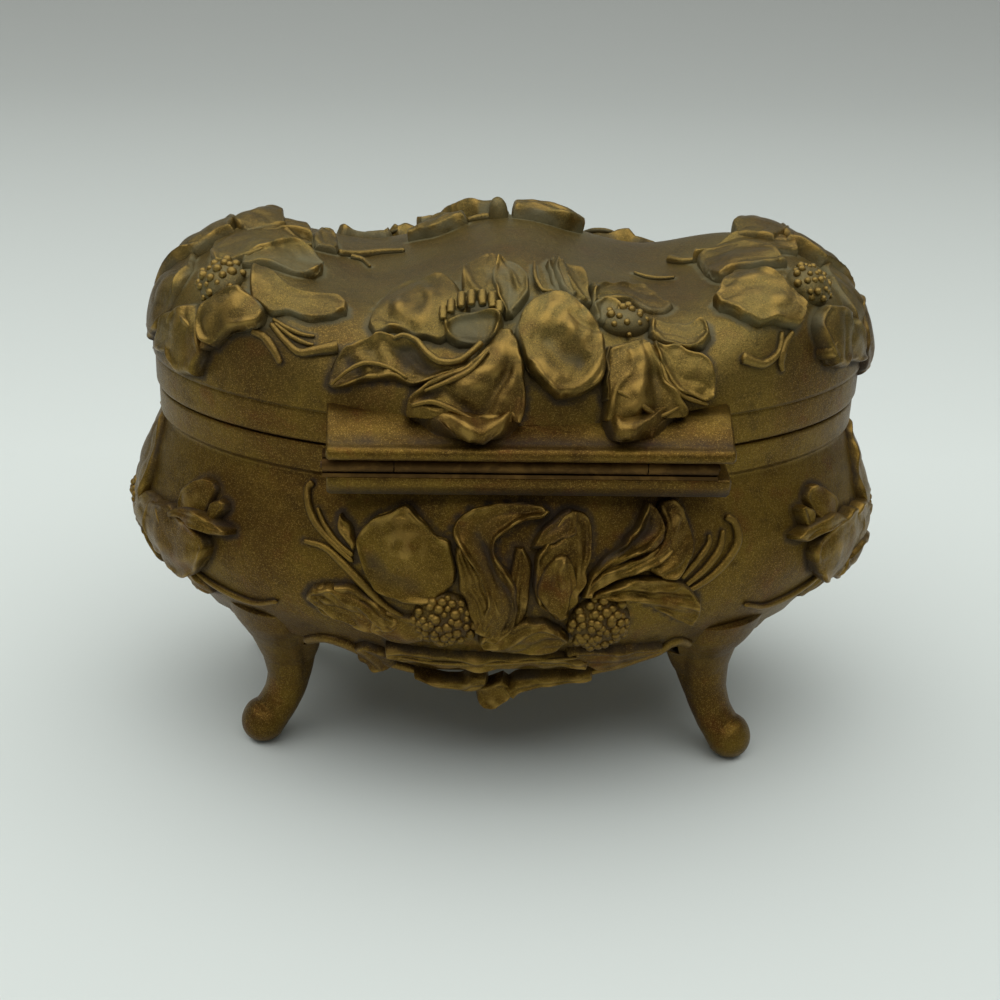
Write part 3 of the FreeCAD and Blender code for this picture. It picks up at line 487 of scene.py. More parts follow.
def stem(canvas, path, radius, lift=0.3, sides=14, count=48):
    # Round rod along a path on the shell; radius is a list of values from start to end.
    spots = alongCurve(path, count)
    radii = np.interp(np.linspace(0, 1, count), np.linspace(0, 1, np.size(radius)),
                      np.atleast_1d(radius))
    radii[[0, -1]] *= 0.35
    lifts = lift + 0.0 * radii
    middle = canvas.point(spots, lifts)
    ray = canvas.normal(spots)
    course = np.gradient(middle, axis=0)
    course /= np.linalg.norm(course, axis=1, keepdims=True)
    side = np.cross(course, ray)
    side /= np.linalg.norm(side, axis=1, keepdims=True)
    turn = np.linspace(0, 2 * math.pi, sides, endpoint=False)
    places = (middle[:, None] + radii[:, None, None] * (
        np.cos(turn)[None, :, None] * side[:, None] + np.sin(turn)[None, :, None] * ray[:, None]))
    places = np.vstack([places.reshape(-1, 3), middle[:1], middle[-1:]])
    ring = np.arange(sides)
    last = (count - 1) * sides
    # Side facing away from the shell brighter, partly rubbed wear and partly painted highlight; side
    # against the shell darker, painted shade, with pale dust instead high on the lid.
    rubbed = np.tile(np.clip(np.sin(turn), 0, 1), count)
    return dict(places=places, faces=[gridFaces(count, sides, True),
                                      fanFaces(ring, count * sides, True),
                                      fanFaces(last + ring, count * sides + 1)],
                rubbed=np.append(rubbed, [0.5, 0.5]) * 0.6,
                dust=np.append(1 - np.clip(rubbed * 2, 0, 1), [0, 0]),
                outline=canvas.point(spots, np.zeros(count)))


def beadBall(radius, sides=9, rings=6):
    # Small ball of latitude rings.
    rise = np.linspace(0, math.pi, rings + 2)[1:-1]
    turn = np.linspace(0, 2 * math.pi, sides, endpoint=False)
    ring = np.stack([np.outer(np.sin(rise), np.cos(turn)), np.outer(np.sin(rise), np.sin(turn)),
                     np.outer(np.cos(rise), np.ones(sides))], -1).reshape(-1, 3)
    places = np.vstack([ring, [[0, 0, 1], [0, 0, -1]]]) * radius
    top = np.arange(sides)
    return places, [gridFaces(rings, sides, True), fanFaces(top, rings * sides, True),
                    fanFaces((rings - 1) * sides + top, rings * sides + 1)]


def stamens(canvas, centre, half, rise, bead, count, lift=0.6, seed=1, squash=0.8, spread=0.95):
    # A domed cushion set with beads in a sunflower spiral; half is its half breadth and height.
    rings, sides = 14, 40
    share = np.sin(np.linspace(0, math.pi / 2, rings))[:, None]
    turn = np.linspace(0, 2 * math.pi, sides, endpoint=False)[None, :]
    flat = np.stack([share * np.cos(turn) * half[0], share * np.sin(turn) * half[1]], -1)
    height = lift - 1.4 + (rise + 1.4) * np.sqrt(np.clip(1 - share ** 2, 0, 1)) ** squash
    cushion = canvas.point(np.asarray(centre) + flat, height + 0 * turn)
    # The cushion between the beads is darkened as painted shade, with pale dust instead high on the lid.
    parts = [dict(places=cushion.reshape(-1, 3), faces=[gridFaces(rings, sides, True)[:, ::-1]],
                  rubbed=0.0, dust=0.55)]
    random = np.random.default_rng(seed)
    order = np.arange(count) + 0.5
    reach = np.sqrt(order / count) * spread
    angle = order * math.pi * (3 - math.sqrt(5))
    flat = np.stack([reach * np.cos(angle) * half[0], reach * np.sin(angle) * half[1]], -1)
    flat += random.normal(0, 0.3 * bead, flat.shape)
    height = lift - 1.4 + (rise + 1.4) * np.sqrt(np.clip(1 - reach ** 2, 0, 1)) ** squash
    middles = canvas.point(np.asarray(centre) + flat, height - 0.15 * bead)
    sizes = random.uniform(0.7, 1.25, count)
    ball, groups = beadBall(bead)
    places = middles[:, None] + sizes[:, None, None] * ball[None]
    shift = (np.arange(count) * len(ball))[:, None, None]
    # Upper halves of the beads marked brighter: painted highlight from light above.
    parts.append(dict(places=places.reshape(-1, 3),
                      faces=[(group[None] + shift).reshape(-1, group.shape[1])
                             for group in groups],
                      rubbed=np.tile(0.25 + 0.5 * (ball[:, 2] > 0), count), dust=0.1))
    part = joinParts(parts)
    part["outline"] = cushion[-1]
    return part


# Each leaf has stations of left and right points from base to tip, then its settings.
bodySide = dict(leaves=[
    (((-20.4, 42.4, -14.8, 42.9), (-25.4, 44.5, -11.7, 45.4), (-27.9, 49.2, -10.8, 49.0), (-28.3,
      52.5, -11.2, 52.1), (-27.3, 55.1, -12.3, 54.0), (-25.2, 56.8, -14.6, 55.0), (-22.5, 58.0,
      -16.4, 57.0), (-20.8, 58.9, -18.0, 58.5), (-19.7, 59.3, -19.0, 59.2)),
     dict(lift=(1.0, 1.6, 2.4), crown=0.6, lip=(0.6, 0.6), veins=0, roll=0.1, ruffle=0.1,
      ridges=((-1.1, 2.6, ((-25.2, 49.3), (-22.3, 47.1), (-18.1, 45.7))), (0.9, 2.6, ((-20.9,
      56.2), (-19.7, 52.3))), (0.5, 0.5, ((-29.1, 49.4), (-27.9, 55.1), (-26.5, 56.6), (-24.1,
      56.2), (-21.2, 58.2), (-18.6, 58.0), (-15.9, 56.0), (-11.8, 53.7)))))),  # cupPetal
    (((-6.1, 36.0, -3.4, 35.6), (-6.6, 39.9, -0.6, 37.9), (-5.6, 44.0, 0.3, 42.7), (-6.2, 46.8,
      -0.2, 46.9), (-8.4, 50.3, -2.1, 50.2), (-10.9, 53.5, -4.2, 52.4), (-11.6, 55.7, -3.5,
      54.5), (-10.1, 58.2, -0.9, 56.5), (-5.5, 59.9, 1.9, 57.4), (0.5, 60.3, 4.6, 57.9), (4.0,
      60.0, 5.6, 58.7)),
     dict(lift=(2.0, 2.4, 2.6), crown=-0.3, lip=(0.6, 0.5), veins=3, veinDepth=0.18,
      ridges=((0.9, 0.45, ((-4.0, 51.4), (-4.3, 53.3), (-3.9, 54.9), (-1.8, 56.3), (1.1, 57.7),
      (4.6, 58.0), (5.2, 58.9))), (-0.9, 0.9, ((-2.4, 50.7), (-2.4, 52.9), (-1.2, 55.0), (2.3,
      56.6))), (-0.8, 0.6, ((-7.1, 54.9), (-5.3, 52.3), (-4.1, 48.9), (-1.7, 45.9), (-0.7, 42.1),
      (-2.0, 38.4))), (0.6, 0.7, ((-10.0, 53.2), (-8.2, 49.4), (-5.8, 45.8), (-4.5, 42.6), (-5.6,
      39.0))), (0.5, 0.5, ((-11.2, 55.8), (-10.7, 57.7), (-8.3, 58.7), (-4.8, 59.3))), (-0.5,
      0.5, ((-10.3, 50.2), (-7.8, 46.3), (-6.3, 43.3)))), roll=0.15)),  # scrollPetal
    (((6.8, 40.1, 9.2, 40.4), (3.6, 43.2, 11.1, 44.5), (2.6, 47.5, 12.4, 49.0), (3.0, 51.5, 13.2,
      53.2), (5.0, 55.0, 13.1, 56.5), (7.2, 58.2, 12.0, 58.4), (9.0, 59.3, 10.6, 59.0)),
     dict(lift=(1.4, 1.8, 2.2), crown=0.3, lip=(0.5, 0.5), ridges=((0.6, 0.6, ((9.8, 58.4),
      (10.1, 54.9), (10.7, 51.1), (10.2, 46.4))), (-0.6, 0.7, ((11.8, 57.0), (12.1, 53.2), (11.3,
      49.4))), (0.6, 0.45, ((3.2, 51.5), (4.7, 52.8), (7.0, 53.5), (9.0, 55.5), (9.5, 57.9)))),
      roll=0.15)),  # tulipHood
    (((7.3, 40.6, 9.1, 41.3), (4.5, 43.1, 9.8, 44.5), (3.3, 46.5, 10.3, 47.8), (4.0, 49.8, 9.6,
      50.7), (6.0, 52.1, 8.5, 52.4)),
     dict(lift=(2.2, 2.6), crown=0.9, lip=(0.1, 0.1), ridges=((-1.0, 1.8, ((6.0, 48.3), (6.6,
      45.9), (7.3, 44.0))), (0.5, 0.4, ((7.7, 50.9), (7.1, 49.5), (7.5, 47.0))), (-0.5, 0.4,
      ((8.9, 50.1), (9.5, 46.9), (9.4, 43.9)))), roll=0.15)),  # tulipHeart
    (((2.0, 53.1, 4.1, 52.9), (2.7, 54.8, 6.9, 53.9), (4.9, 57.1, 9.6, 55.3), (7.2, 58.8, 10.1,
      58.1), (8.6, 59.4, 9.7, 59.2)),
     dict(lift=(2.8, 3.0), crown=-0.2, lip=(0.4, 0.4))),  # tulipFlap
    (((11.1, 44.5, 13.3, 44.3), (12.4, 48.1, 16.0, 48.3), (14.8, 51.0, 19.9, 50.9), (18.4, 53.6,
      24.8, 52.6), (20.9, 56.3, 25.7, 55.6), (22.0, 58.9, 24.7, 58.2), (22.5, 60.0, 23.8, 59.4)),
     dict(lift=(1.8, 2.4, 2.8), crown=-0.4, lip=(0.6, 0.6), ridges=((0.9, 0.45, ((13.1, 48.6),
      (16.6, 50.7), (20.9, 51.9), (23.9, 53.6), (25.3, 55.2), (25.4, 56.8), (24.1, 58.4))),
      (-0.9, 0.8, ((14.8, 51.3), (19.0, 52.9), (22.0, 54.9), (22.9, 57.0))), (0.4, 0.5, ((13.0,
      50.4), (17.2, 52.4), (20.8, 54.4)))), roll=0.15)),  # curlPetal
    (((22.1, 51.1, 22.2, 48.4), (24.3, 52.2, 25.0, 47.2), (25.9, 55.6, 28.2, 46.4), (24.7, 58.6,
      30.3, 48.1), (25.7, 60.0, 31.4, 51.4), (27.9, 59.8, 30.9, 54.8), (29.4, 58.3, 29.9, 56.9)),
     dict(lift=(1.4, 1.8), crown=0.4, lip=(0.3, 0.4), veins=2, ridges=((0.5, 0.5, ((22.7, 49.9),
      (25.7, 52.3), (27.5, 55.0), (28.1, 56.8))), (-0.4, 0.6, ((24.0, 49.1), (27.6, 51.1), (29.8,
      53.6))), (0.4, 0.5, ((24.7, 47.8), (28.3, 49.3), (30.4, 50.8)))), roll=0.15)),  # farPetal
    (((12.5, 44.4, 13.3, 44.0), (15.0, 46.2, 16.2, 43.5), (18.9, 47.4, 20.6, 43.3), (23.1, 47.6,
      25.4, 40.8), (27.4, 46.7, 29.4, 38.0), (30.9, 45.0, 32.0, 36.6), (33.2, 42.2, 33.5, 39.0)),
     dict(lift=(1.4, 1.8, 1.6), crown=0.3, lip=(0.4, 0.4), veins=4, veinDepth=0.25, ridges=((0.6,
      0.45, ((12.1, 44.4), (15.0, 45.6), (19.2, 46.4), (22.9, 45.7), (26.6, 45.0), (28.5,
      45.4))), (-0.5, 0.6, ((16.8, 45.1), (22.4, 44.6), (27.4, 43.7), (31.1, 43.0))), (0.4, 0.5,
      ((17.5, 44.1), (23.0, 43.5), (28.7, 42.2), (32.3, 40.9))), (-0.4, 0.5, ((18.2, 42.8),
      (23.8, 42.0), (28.9, 40.6), (32.2, 39.3)))), roll=0.15)),  # broadPetal
    (((-21.8, 36.0, -20.4, 38.0), (-25.7, 35.5, -24.3, 40.6), (-30.2, 37.0, -29.0, 43.3), (-34.4,
      38.8, -32.9, 44.2), (-37.8, 40.7, -36.2, 43.3)),
     dict(lift=(0.9, 1.0), crown=0.6, lip=(0.4, 0.4), veins=3, ruffle=0.4, waves=3, ridges=((0.6,
      0.5, ((-35.3, 42.8), (-32.9, 43.7), (-30.5, 41.9), (-27.5, 41.3), (-25.2, 39.0), (-22.8,
      36.8))), (-0.5, 0.7, ((-34.1, 41.5), (-30.5, 39.7), (-26.9, 37.6)))), roll=0.15)),
       # lowLeafLeft
    (((-15.9, 35.1, -15.4, 38.5), (-19.4, 33.4, -19.0, 39.9), (-23.0, 34.0, -22.6, 40.8), (-26.1,
      36.7, -25.4, 40.0)),
     dict(lift=(1.2, 1.0), crown=0.4, lip=(0.3, 0.3), veins=1)),  # lowLeafInner
    (((-7.6, 37.8, -4.0, 36.4), (-8.9, 41.7, -2.1, 40.9), (-10.0, 45.6, -4.1, 45.7), (-10.8,
      49.2, -6.3, 49.8), (-11.2, 51.8, -8.3, 52.4), (-10.9, 53.1, -9.4, 53.6)),
     dict(lift=(1.6, 1.8, 1.2), crown=0.5, lip=(0.3, 0.2), veins=5, veinDepth=0.3)),
       # featherPetal
    (((-22.2, 36.1, -20.4, 38.6), (-26.3, 35.4, -24.0, 41.8), (-31.2, 36.9, -28.8, 44.5), (-35.4,
      38.3, -33.5, 44.4), (-37.8, 40.7, -36.5, 43.2)),
     dict(lift=(0.8, 0.9, 0.5), crown=0.5, lip=(0.4, 0.4), veins=3, ruffle=0.5, waves=4)),
       # ruffleLeaf
    (((-6.1, 37.3, -6.7, 35.4), (-2.9, 38.6, -3.7, 33.1), (1.3, 40.1, 0.4, 32.6), (4.9, 40.1,
      5.0, 32.5), (7.5, 38.7, 7.8, 33.7), (9.4, 36.8, 9.8, 35.9)),
     dict(lift=(1.4, 1.6), crown=0.3, lip=(0.5, 0.3), ridges=((0.8, 0.5, ((-5.4, 35.3), (-1.8,
      35.2), (1.6, 37.8), (5.2, 38.7), (8.6, 37.3))), (-0.6, 0.6, ((-3.5, 33.3), (0.7, 33.2),
      (4.7, 35.7), (7.7, 36.0)))), roll=0.15)),  # foldLeaf
    (((13.7, 27.3, 14.5, 29.5), (6.3, 27.8, 6.5, 31.6), (-2.0, 27.9, -2.2, 31.3), (-10.2, 27.5,
      -10.9, 31.2), (-17.5, 27.8, -18.5, 31.7), (-23.0, 30.2, -23.2, 32.4)),
     dict(lift=(1.2, 1.4), crown=0.4, lip=(0.4, 0.3))),  # hemLeafLeft
    (((9.8, 32.3, 8.9, 29.9), (14.5, 32.5, 13.7, 27.3), (19.8, 31.8, 18.9, 26.7), (24.5, 31.6,
      24.0, 28.1), (27.8, 31.5, 27.7, 29.6)),
     dict(lift=(1.2, 1.3), crown=0.4, lip=(0.3, 0.3))),  # hemLeafRight
    (((11.4, 45.0, 12.7, 44.1), (13.1, 48.1, 16.2, 46.7), (16.6, 50.0, 21.0, 48.1), (21.5, 51.4,
      25.2, 49.4), (25.7, 53.5, 28.2, 51.6)),
     dict(lift=(1.2, 1.6, 1.0), crown=0.4, lip=(0.4, 0.3), veins=3)),  # wispLeaf
    (((-3.1, 37.6, 1.6, 38.4), (-2.1, 42.0, 2.3, 42.8), (-1.7, 46.5, 2.4, 47.1), (-1.2, 50.7,
      2.3, 50.7), (-0.6, 53.4, 1.1, 53.4)),
     dict(lift=(0.7, 0.9, 0.6), crown=0.3, lip=(0.3, 0.3), veins=3, veinDepth=0.3)),  # darkLeaf
    (((-27.2, 31.1, -29.0, 29.4), (-23.6, 30.1, -27.2, 25.9), (-21.7, 27.6, -25.4, 23.6), (-20.9,
      25.6, -23.1, 23.4)),
     dict(lift=(1.0, 1.0), crown=0.4, lip=(0.2, 0.2))),  # smallLeaf
    (((-1.2, 24.1, -6.3, 21.3), (0.5, 21.2, -6.4, 19.0), (-0.1, 18.9, -5.8, 17.5), (-2.1, 16.7,
      -4.7, 16.7)),
     dict(lift=(0.9, 1.6, 1.4), crown=1.0, lip=(0.4, 0.4))),  # pendant
    (((-17.8, 24.7, -17.8, 23.2), (-14.1, 23.6, -14.1, 21.4), (-9.7, 23.2, -9.6, 20.6), (-7.0,
      25.2, -6.3, 21.0), (-4.4, 25.4, -4.0, 22.8)),
     dict(lift=(0.9, 1.4, 1.6), crown=0.9, lip=(0.3, 0.1))),  # scrollLeft
    (((-1.2, 22.1, 0.6, 19.1), (1.9, 24.4, 3.5, 21.1), (6.5, 25.1, 7.2, 22.3), (11.5, 25.3, 12.0,
      22.7), (14.8, 26.1, 15.4, 23.8)),
     dict(lift=(1.6, 1.4, 0.9), crown=0.9, lip=(0.1, 0.3))),  # scrollRight
    (((-29.0, 50.7, -28.0, 52.1), (-30.8, 52.2, -29.1, 54.9), (-31.9, 54.5, -30.5, 56.3), (-31.6,
      56.5, -31.0, 56.9)),
     dict(lift=(0.8, 0.8), crown=0.4, lip=(0.2, 0.2))),  # thornLeft
], stems=[
    (((30.2, 43.2), (34.5, 45.2), (38.0, 48.0), (40.2, 51.2), (39.7, 54.3), (37.8, 55.9)),
     dict(radius=(0.5, 0.8, 0.9, 0.7))),  # tendrilRight
    (((30.5, 44.7), (34.0, 47.4), (36.7, 50.6), (37.4, 53.7)),
     dict(radius=(0.5, 0.8, 0.5))),  # tendrilRightInner
    (((29.7, 46.2), (32.5, 49.1), (34.6, 51.7), (34.7, 53.3)),
     dict(radius=(0.5, 0.7, 0.4))),  # tendrilRightShort
    (((-29.0, 48.9), (-32.2, 51.3), (-35.3, 54.0), (-36.9, 56.7), (-37.3, 59.6), (-36.3, 61.0)),
     dict(radius=(0.5, 0.8, 0.7))),  # tendrilLeft
    (((-29.0, 50.0), (-31.9, 51.9), (-34.2, 54.5), (-35.5, 57.0)),
     dict(radius=(0.5, 0.6, 0.4))),  # tendrilLeftInner
    (((-38.0, 51.2), (-34.0, 50.7), (-30.4, 48.0), (-26.5, 44.3), (-23.3, 41.2), (-19.7, 38.9)),
     dict(radius=(0.5, 0.9, 0.6))),  # stalkLeft
    (((-30.2, 43.9), (-27.5, 41.4), (-24.7, 38.3), (-21.1, 36.6), (-16.8, 35.0)),
     dict(radius=(0.5, 0.7, 0.5))),  # stalkLow
    (((-38.2, 27.5), (-34.6, 29.9), (-30.9, 29.6), (-27.2, 27.7), (-23.5, 25.7), (-19.8, 24.4),
      (-16.5, 23.5)),
     dict(radius=(1.0, 1.2, 1.1, 0.7), lift=0.0)),  # mouldingLeft
    (((33.7, 28.7), (30.4, 31.1), (27.4, 28.6), (24.1, 27.2), (20.5, 25.6), (16.8, 24.5), (13.5,
      23.5)),
     dict(radius=(1.0, 1.2, 1.1, 0.7), lift=0.0)),  # mouldingRight
    (((-22.5, 30.3), (-14.8, 29.2), (-5.7, 29.7), (3.3, 30.7), (11.5, 31.3)),
     dict(radius=(0.3, 0.5, 0.3), lift=1.6)),  # hemRidge
], stamens=[
    dict(centre=(-12.8, 39.6), half=(5.8, 5.6), rise=2.2, bead=0.85, count=52, seed=3),
    dict(centre=(15.1, 38.7), half=(5.8, 5.6), rise=2.2, bead=0.85, count=52, seed=4),
])

lidSide = dict(leaves=[
    (((-9.2, 65.4, -8.7, 70.4), (-13.0, 62.8, -12.5, 75.1), (-16.8, 62.6, -16.0, 75.5), (-20.1,
      64.1, -20.1, 74.6), (-23.0, 64.5, -23.8, 72.1), (-25.5, 63.9, -26.0, 68.7), (-26.3, 64.7,
      -26.9, 65.8)),
     dict(lift=(1.6, 1.2, 1.0), crown=0.5, lip=(0.3, 0.3), veins=2, veinDepth=0.15, ridges=((0.7,
      1.8, ((-21.0, 67.9), (-18.6, 66.3), (-16.3, 66.6))), (-0.6, 1.4, ((-23.3, 66.9), (-19.2,
      64.1))), (0.4, 0.8, ((-17.4, 72.7), (-14.6, 69.8)))), roll=0.15)),  # sailPetal
    (((-10.1, 70.8, -2.7, 70.3), (-10.4, 73.7, -2.0, 73.1), (-9.2, 77.2, -1.9, 76.1), (-7.0,
      79.1, -2.6, 77.8), (-4.8, 80.0, -3.6, 79.5)),
     dict(lift=(1.4, 1.4, 1.0), crown=0.2, lip=(0.3, 0.3), veins=3, veinDepth=0.15, ridges=((0.8,
      0.45, ((-2.9, 78.0), (-0.0, 76.4), (1.3, 74.1), (0.9, 70.7), (-1.9, 67.8))), (-0.9, 1.8,
      ((-3.9, 75.1), (-1.7, 73.0), (-1.8, 70.3))), (0.6, 0.7, ((-9.2, 75.9), (-8.1, 72.4), (-5.3,
      69.0)))), roll=0.15)),  # topPetal
    (((-2.9, 66.5, -1.5, 66.9), (-4.1, 69.5, 0.6, 69.6), (-4.8, 72.9, 1.7, 73.0), (-4.3, 76.5,
      0.6, 76.1), (-3.1, 78.3, -1.4, 77.9)),
     dict(lift=(2.4, 2.2, 1.8), crown=-0.9, lip=(0.7, 0.3), ridges=((0.6, 0.5, ((-3.8, 77.6),
      (-1.6, 75.1), (-0.6, 71.7))),), roll=0.15)),  # scoopPetal
    (((-7.2, 58.5, -6.1, 62.5), (-10.3, 56.7, -8.2, 60.6), (-14.4, 55.5, -12.0, 58.9), (-18.5,
      54.7, -15.8, 59.9), (-22.3, 55.5, -18.9, 62.6), (-26.4, 55.7, -23.0, 63.0), (-30.2, 54.7,
      -27.5, 62.6), (-32.5, 54.2, -31.3, 61.0), (-33.8, 55.1, -33.5, 57.2)),
     dict(lift=(2.0, 1.8, 1.6, 1.2), crown=-0.6, lip=(0.5, 0.5), ridges=((0.8, 0.45, ((-25.6,
      62.1), (-24.1, 62.7), (-22.4, 62.1), (-21.1, 61.5), (-19.2, 62.1), (-16.9, 60.9), (-14.7,
      58.4), (-11.7, 57.7), (-9.0, 58.9))), (1.0, 1.3, ((-24.7, 61.6), (-23.5, 59.8), (-22.6,
      57.7))), (-0.9, 1.2, ((-20.6, 60.7), (-18.6, 58.6), (-16.6, 56.9))), (0.7, 1.0, ((-28.4,
      60.1), (-27.0, 58.4), (-26.5, 57.2))), (-0.6, 0.8, ((-29.8, 58.7), (-28.1, 57.0))), (0.5,
      0.5, ((-32.4, 54.1), (-30.1, 54.7), (-27.2, 56.0), (-24.3, 56.8), (-20.9, 56.4), (-16.9,
      56.2)))), roll=0.15)),  # wavePetal
    (((-1.6, 64.3, -4.5, 64.7), (-0.1, 60.7, -7.5, 60.1), (0.4, 56.5, -11.5, 57.1), (0.8, 53.0,
      -15.7, 55.4), (0.3, 50.3, -19.0, 53.3), (-1.3, 47.8, -20.0, 51.2), (-3.7, 45.8, -19.3,
      49.2), (-6.8, 45.1, -15.4, 46.9), (-9.2, 45.1, -11.4, 45.5)),
     dict(lift=(1.6, 2.6, 3.0, 3.0), crown=0.4, lip=(0.8, 0.4), veins=2, veinDepth=0.2,
      ridges=((1.0, 2.0, ((-2.5, 61.9), (-4.3, 58.7), (-7.2, 55.7), (-10.0, 54.0))), (0.7, 1.1,
      ((-0.6, 59.9), (-1.7, 55.8), (-3.7, 52.3), (-5.1, 49.2))), (-0.8, 0.9, ((-2.6, 56.9),
      (-4.6, 54.0), (-6.5, 50.6))), (0.9, 0.5, ((-18.8, 50.1), (-17.4, 51.6), (-14.5, 50.6),
      (-12.3, 51.1), (-10.5, 50.0), (-7.7, 48.6), (-4.2, 48.3))), (-0.9, 1.2, ((-16.6, 52.8),
      (-13.4, 53.7), (-10.6, 51.7), (-8.2, 50.0)))), roll=0.15)),  # hangPetal
    (((9.1, 69.5, 12.3, 69.3), (6.8, 71.8, 12.5, 71.7), (5.4, 75.2, 12.0, 74.8), (4.9, 78.1,
      10.8, 77.2), (6.0, 79.6, 8.6, 78.9)),
     dict(lift=(1.8, 1.4, 1.0), crown=-0.4, lip=(0.5, 0.5), ridges=((0.8, 0.45, ((4.2, 70.5),
      (4.6, 75.3), (5.1, 78.3), (6.3, 79.4), (7.5, 78.6), (8.1, 75.5), (9.6, 72.1), (10.7,
      69.8))), (-0.8, 1.0, ((6.0, 76.8), (6.6, 73.3), (8.2, 70.3))), (0.4, 0.6, ((10.7, 77.2),
      (11.4, 72.9)))), roll=0.15)),  # heartLeaf
    (((8.8, 70.3, 10.0, 71.5), (6.8, 73.0, 8.8, 74.4), (5.9, 76.8, 8.2, 77.4), (6.5, 79.2, 7.4,
      79.0)),
     dict(lift=(1.9, 1.9, 1.5), crown=-0.3, lip=(0.3, 0.3))),  # heartLeafInner
    (((1.1, 56.5, 6.0, 52.4), (-0.8, 60.7, 9.8, 53.2), (-1.3, 64.3, 13.6, 56.1), (0.0, 67.5,
      14.1, 61.0), (2.8, 69.8, 12.5, 65.0), (5.3, 70.5, 9.4, 68.3)),
     dict(lift=(3.2, 3.4, 2.6), crown=1.6, lip=(0.3, 0.3), ridges=((-2.1, 2.6, ((4.1, 61.4),
      (6.1, 59.4), (9.0, 58.6))), (0.7, 0.6, ((1.4, 57.8), (3.5, 55.1), (5.8, 54.0), (9.0, 54.4),
      (11.6, 56.6), (13.0, 59.6), (12.7, 62.6))), (-0.6, 0.6, ((7.7, 65.6), (9.7, 64.0), (12.5,
      63.1))), (0.6, 0.8, ((6.5, 63.9), (9.0, 61.3), (10.5, 59.5)))), roll=0.15)),  # budPetal
    (((12.9, 66.2, 14.3, 65.9), (12.1, 68.5, 16.8, 66.7), (13.2, 70.3, 17.5, 68.9), (14.8, 70.8,
      16.6, 70.3)),
     dict(lift=(2.4, 2.4), crown=-0.9, lip=(0.6, 0.6))),  # cupCurl
    (((12.6, 74.3, 12.3, 69.3), (15.1, 74.5, 15.2, 70.4), (20.1, 75.2, 19.7, 70.6), (23.8, 74.9,
      23.5, 69.1), (26.2, 72.6, 26.4, 69.4), (27.8, 71.6, 28.2, 70.7)),
     dict(lift=(1.4, 1.1, 1.0), crown=0.0, lip=(0.4, 0.2), ridges=((0.5, 0.4, ((12.9, 72.3),
      (15.2, 73.9), (19.7, 74.7), (24.1, 74.9))),), roll=0.15)),  # flatPetal
    (((23.0, 67.7, 22.4, 64.3), (26.2, 67.0, 25.1, 62.6), (29.7, 66.7, 28.7, 61.5), (32.3, 67.7,
      31.9, 61.9), (33.6, 66.6, 33.8, 64.2)),
     dict(lift=(1.2, 1.5, 1.6), crown=-0.2, lip=(0.5, 0.3), ridges=((0.6, 0.5, ((23.3, 63.5),
      (26.2, 61.9), (30.1, 62.0), (32.8, 64.1))),), roll=0.15)),  # finPetal
    (((23.0, 63.0, 22.3, 61.3), (26.6, 62.3, 23.6, 58.1), (30.1, 61.5, 25.7, 55.0), (33.0, 60.5,
      29.0, 53.5), (34.2, 57.7, 32.0, 53.0), (34.1, 55.3, 33.4, 53.7)),
     dict(lift=(1.6, 1.4), crown=0.3, lip=(0.5, 0.5), ridges=((0.7, 0.5, ((22.6, 62.0), (24.3,
      58.7), (26.7, 55.2), (30.3, 53.1), (32.8, 54.3))),), roll=0.15)),  # sidePetal
    (((20.9, 62.9, 13.4, 61.0), (23.6, 60.6, 13.8, 57.5), (24.3, 56.7, 14.0, 53.8), (26.8, 54.3,
      13.7, 50.5), (28.7, 51.6, 14.1, 47.6), (27.4, 49.4, 15.9, 45.5), (23.0, 46.6, 19.0, 45.4)),
     dict(lift=(1.8, 2.6, 3.0), crown=0.6, lip=(0.5, 0.5), veins=2, veinDepth=0.2, ridges=((1.0,
      1.4, ((19.3, 61.3), (20.4, 57.4), (19.2, 53.3), (17.5, 50.4))), (0.8, 0.5, ((21.4, 61.3),
      (23.7, 57.5), (25.8, 54.4), (28.6, 52.1))), (-1.0, 1.4, ((22.2, 56.3), (23.1, 52.8), (22.0,
      49.9))), (0.7, 0.5, ((18.1, 60.3), (18.4, 57.4), (15.7, 54.4), (15.0, 50.3), (16.2,
      46.7))), (0.6, 0.6, ((16.1, 46.2), (18.9, 45.8), (23.0, 46.9), (26.9, 49.5)))),
      roll=0.15)),  # foldPetal
    (((-11.2, 61.5, -6.6, 61.2), (-13.3, 63.0, -4.3, 62.7), (-13.7, 64.8, -3.2, 64.7), (-13.1,
      66.4, -3.5, 66.4), (-11.7, 67.4, -4.4, 67.4)),
     dict(lift=(1.2, 2.8, 3.2, 3.0), crown=-1.5, lip=(0.5, 0.5), veins=0, roll=0.0, ruffle=0.0,
      blend=0.5, ridges=((0.8, 0.45, ((-13.2, 63.7), (-11.1, 65.7), (-7.7, 66.5), (-4.8, 66.4),
      (-3.5, 65.1))),))),  # drumCup
    (((13.7, 52.6, 14.7, 51.9), (13.7, 55.7, 16.8, 54.7), (13.7, 58.7, 18.9, 57.2), (13.9, 61.0,
      17.6, 60.4), (14.8, 61.6, 16.0, 61.3)),
     dict(lift=(2.6, 3.0), crown=-0.9, lip=(0.6, 0.6))),  # leafCurl
], stems=[
    (((-13.1, 67.1), (-13.2, 66.0), (-13.2, 65.0)),
     dict(radius=(0.75, 0.85, 0.7), lift=3.0)),  # knobA
    (((-11.7, 68.3), (-11.8, 67.2), (-11.9, 66.1)),
     dict(radius=(0.75, 0.85, 0.7), lift=3.0)),  # knobB
    (((-9.9, 69.6), (-10.0, 68.4), (-10.1, 67.1)),
     dict(radius=(0.75, 0.85, 0.7), lift=3.0)),  # knobC
    (((-8.2, 70.0), (-8.3, 68.7), (-8.3, 67.5)),
     dict(radius=(0.75, 0.85, 0.7), lift=3.0)),  # knobD
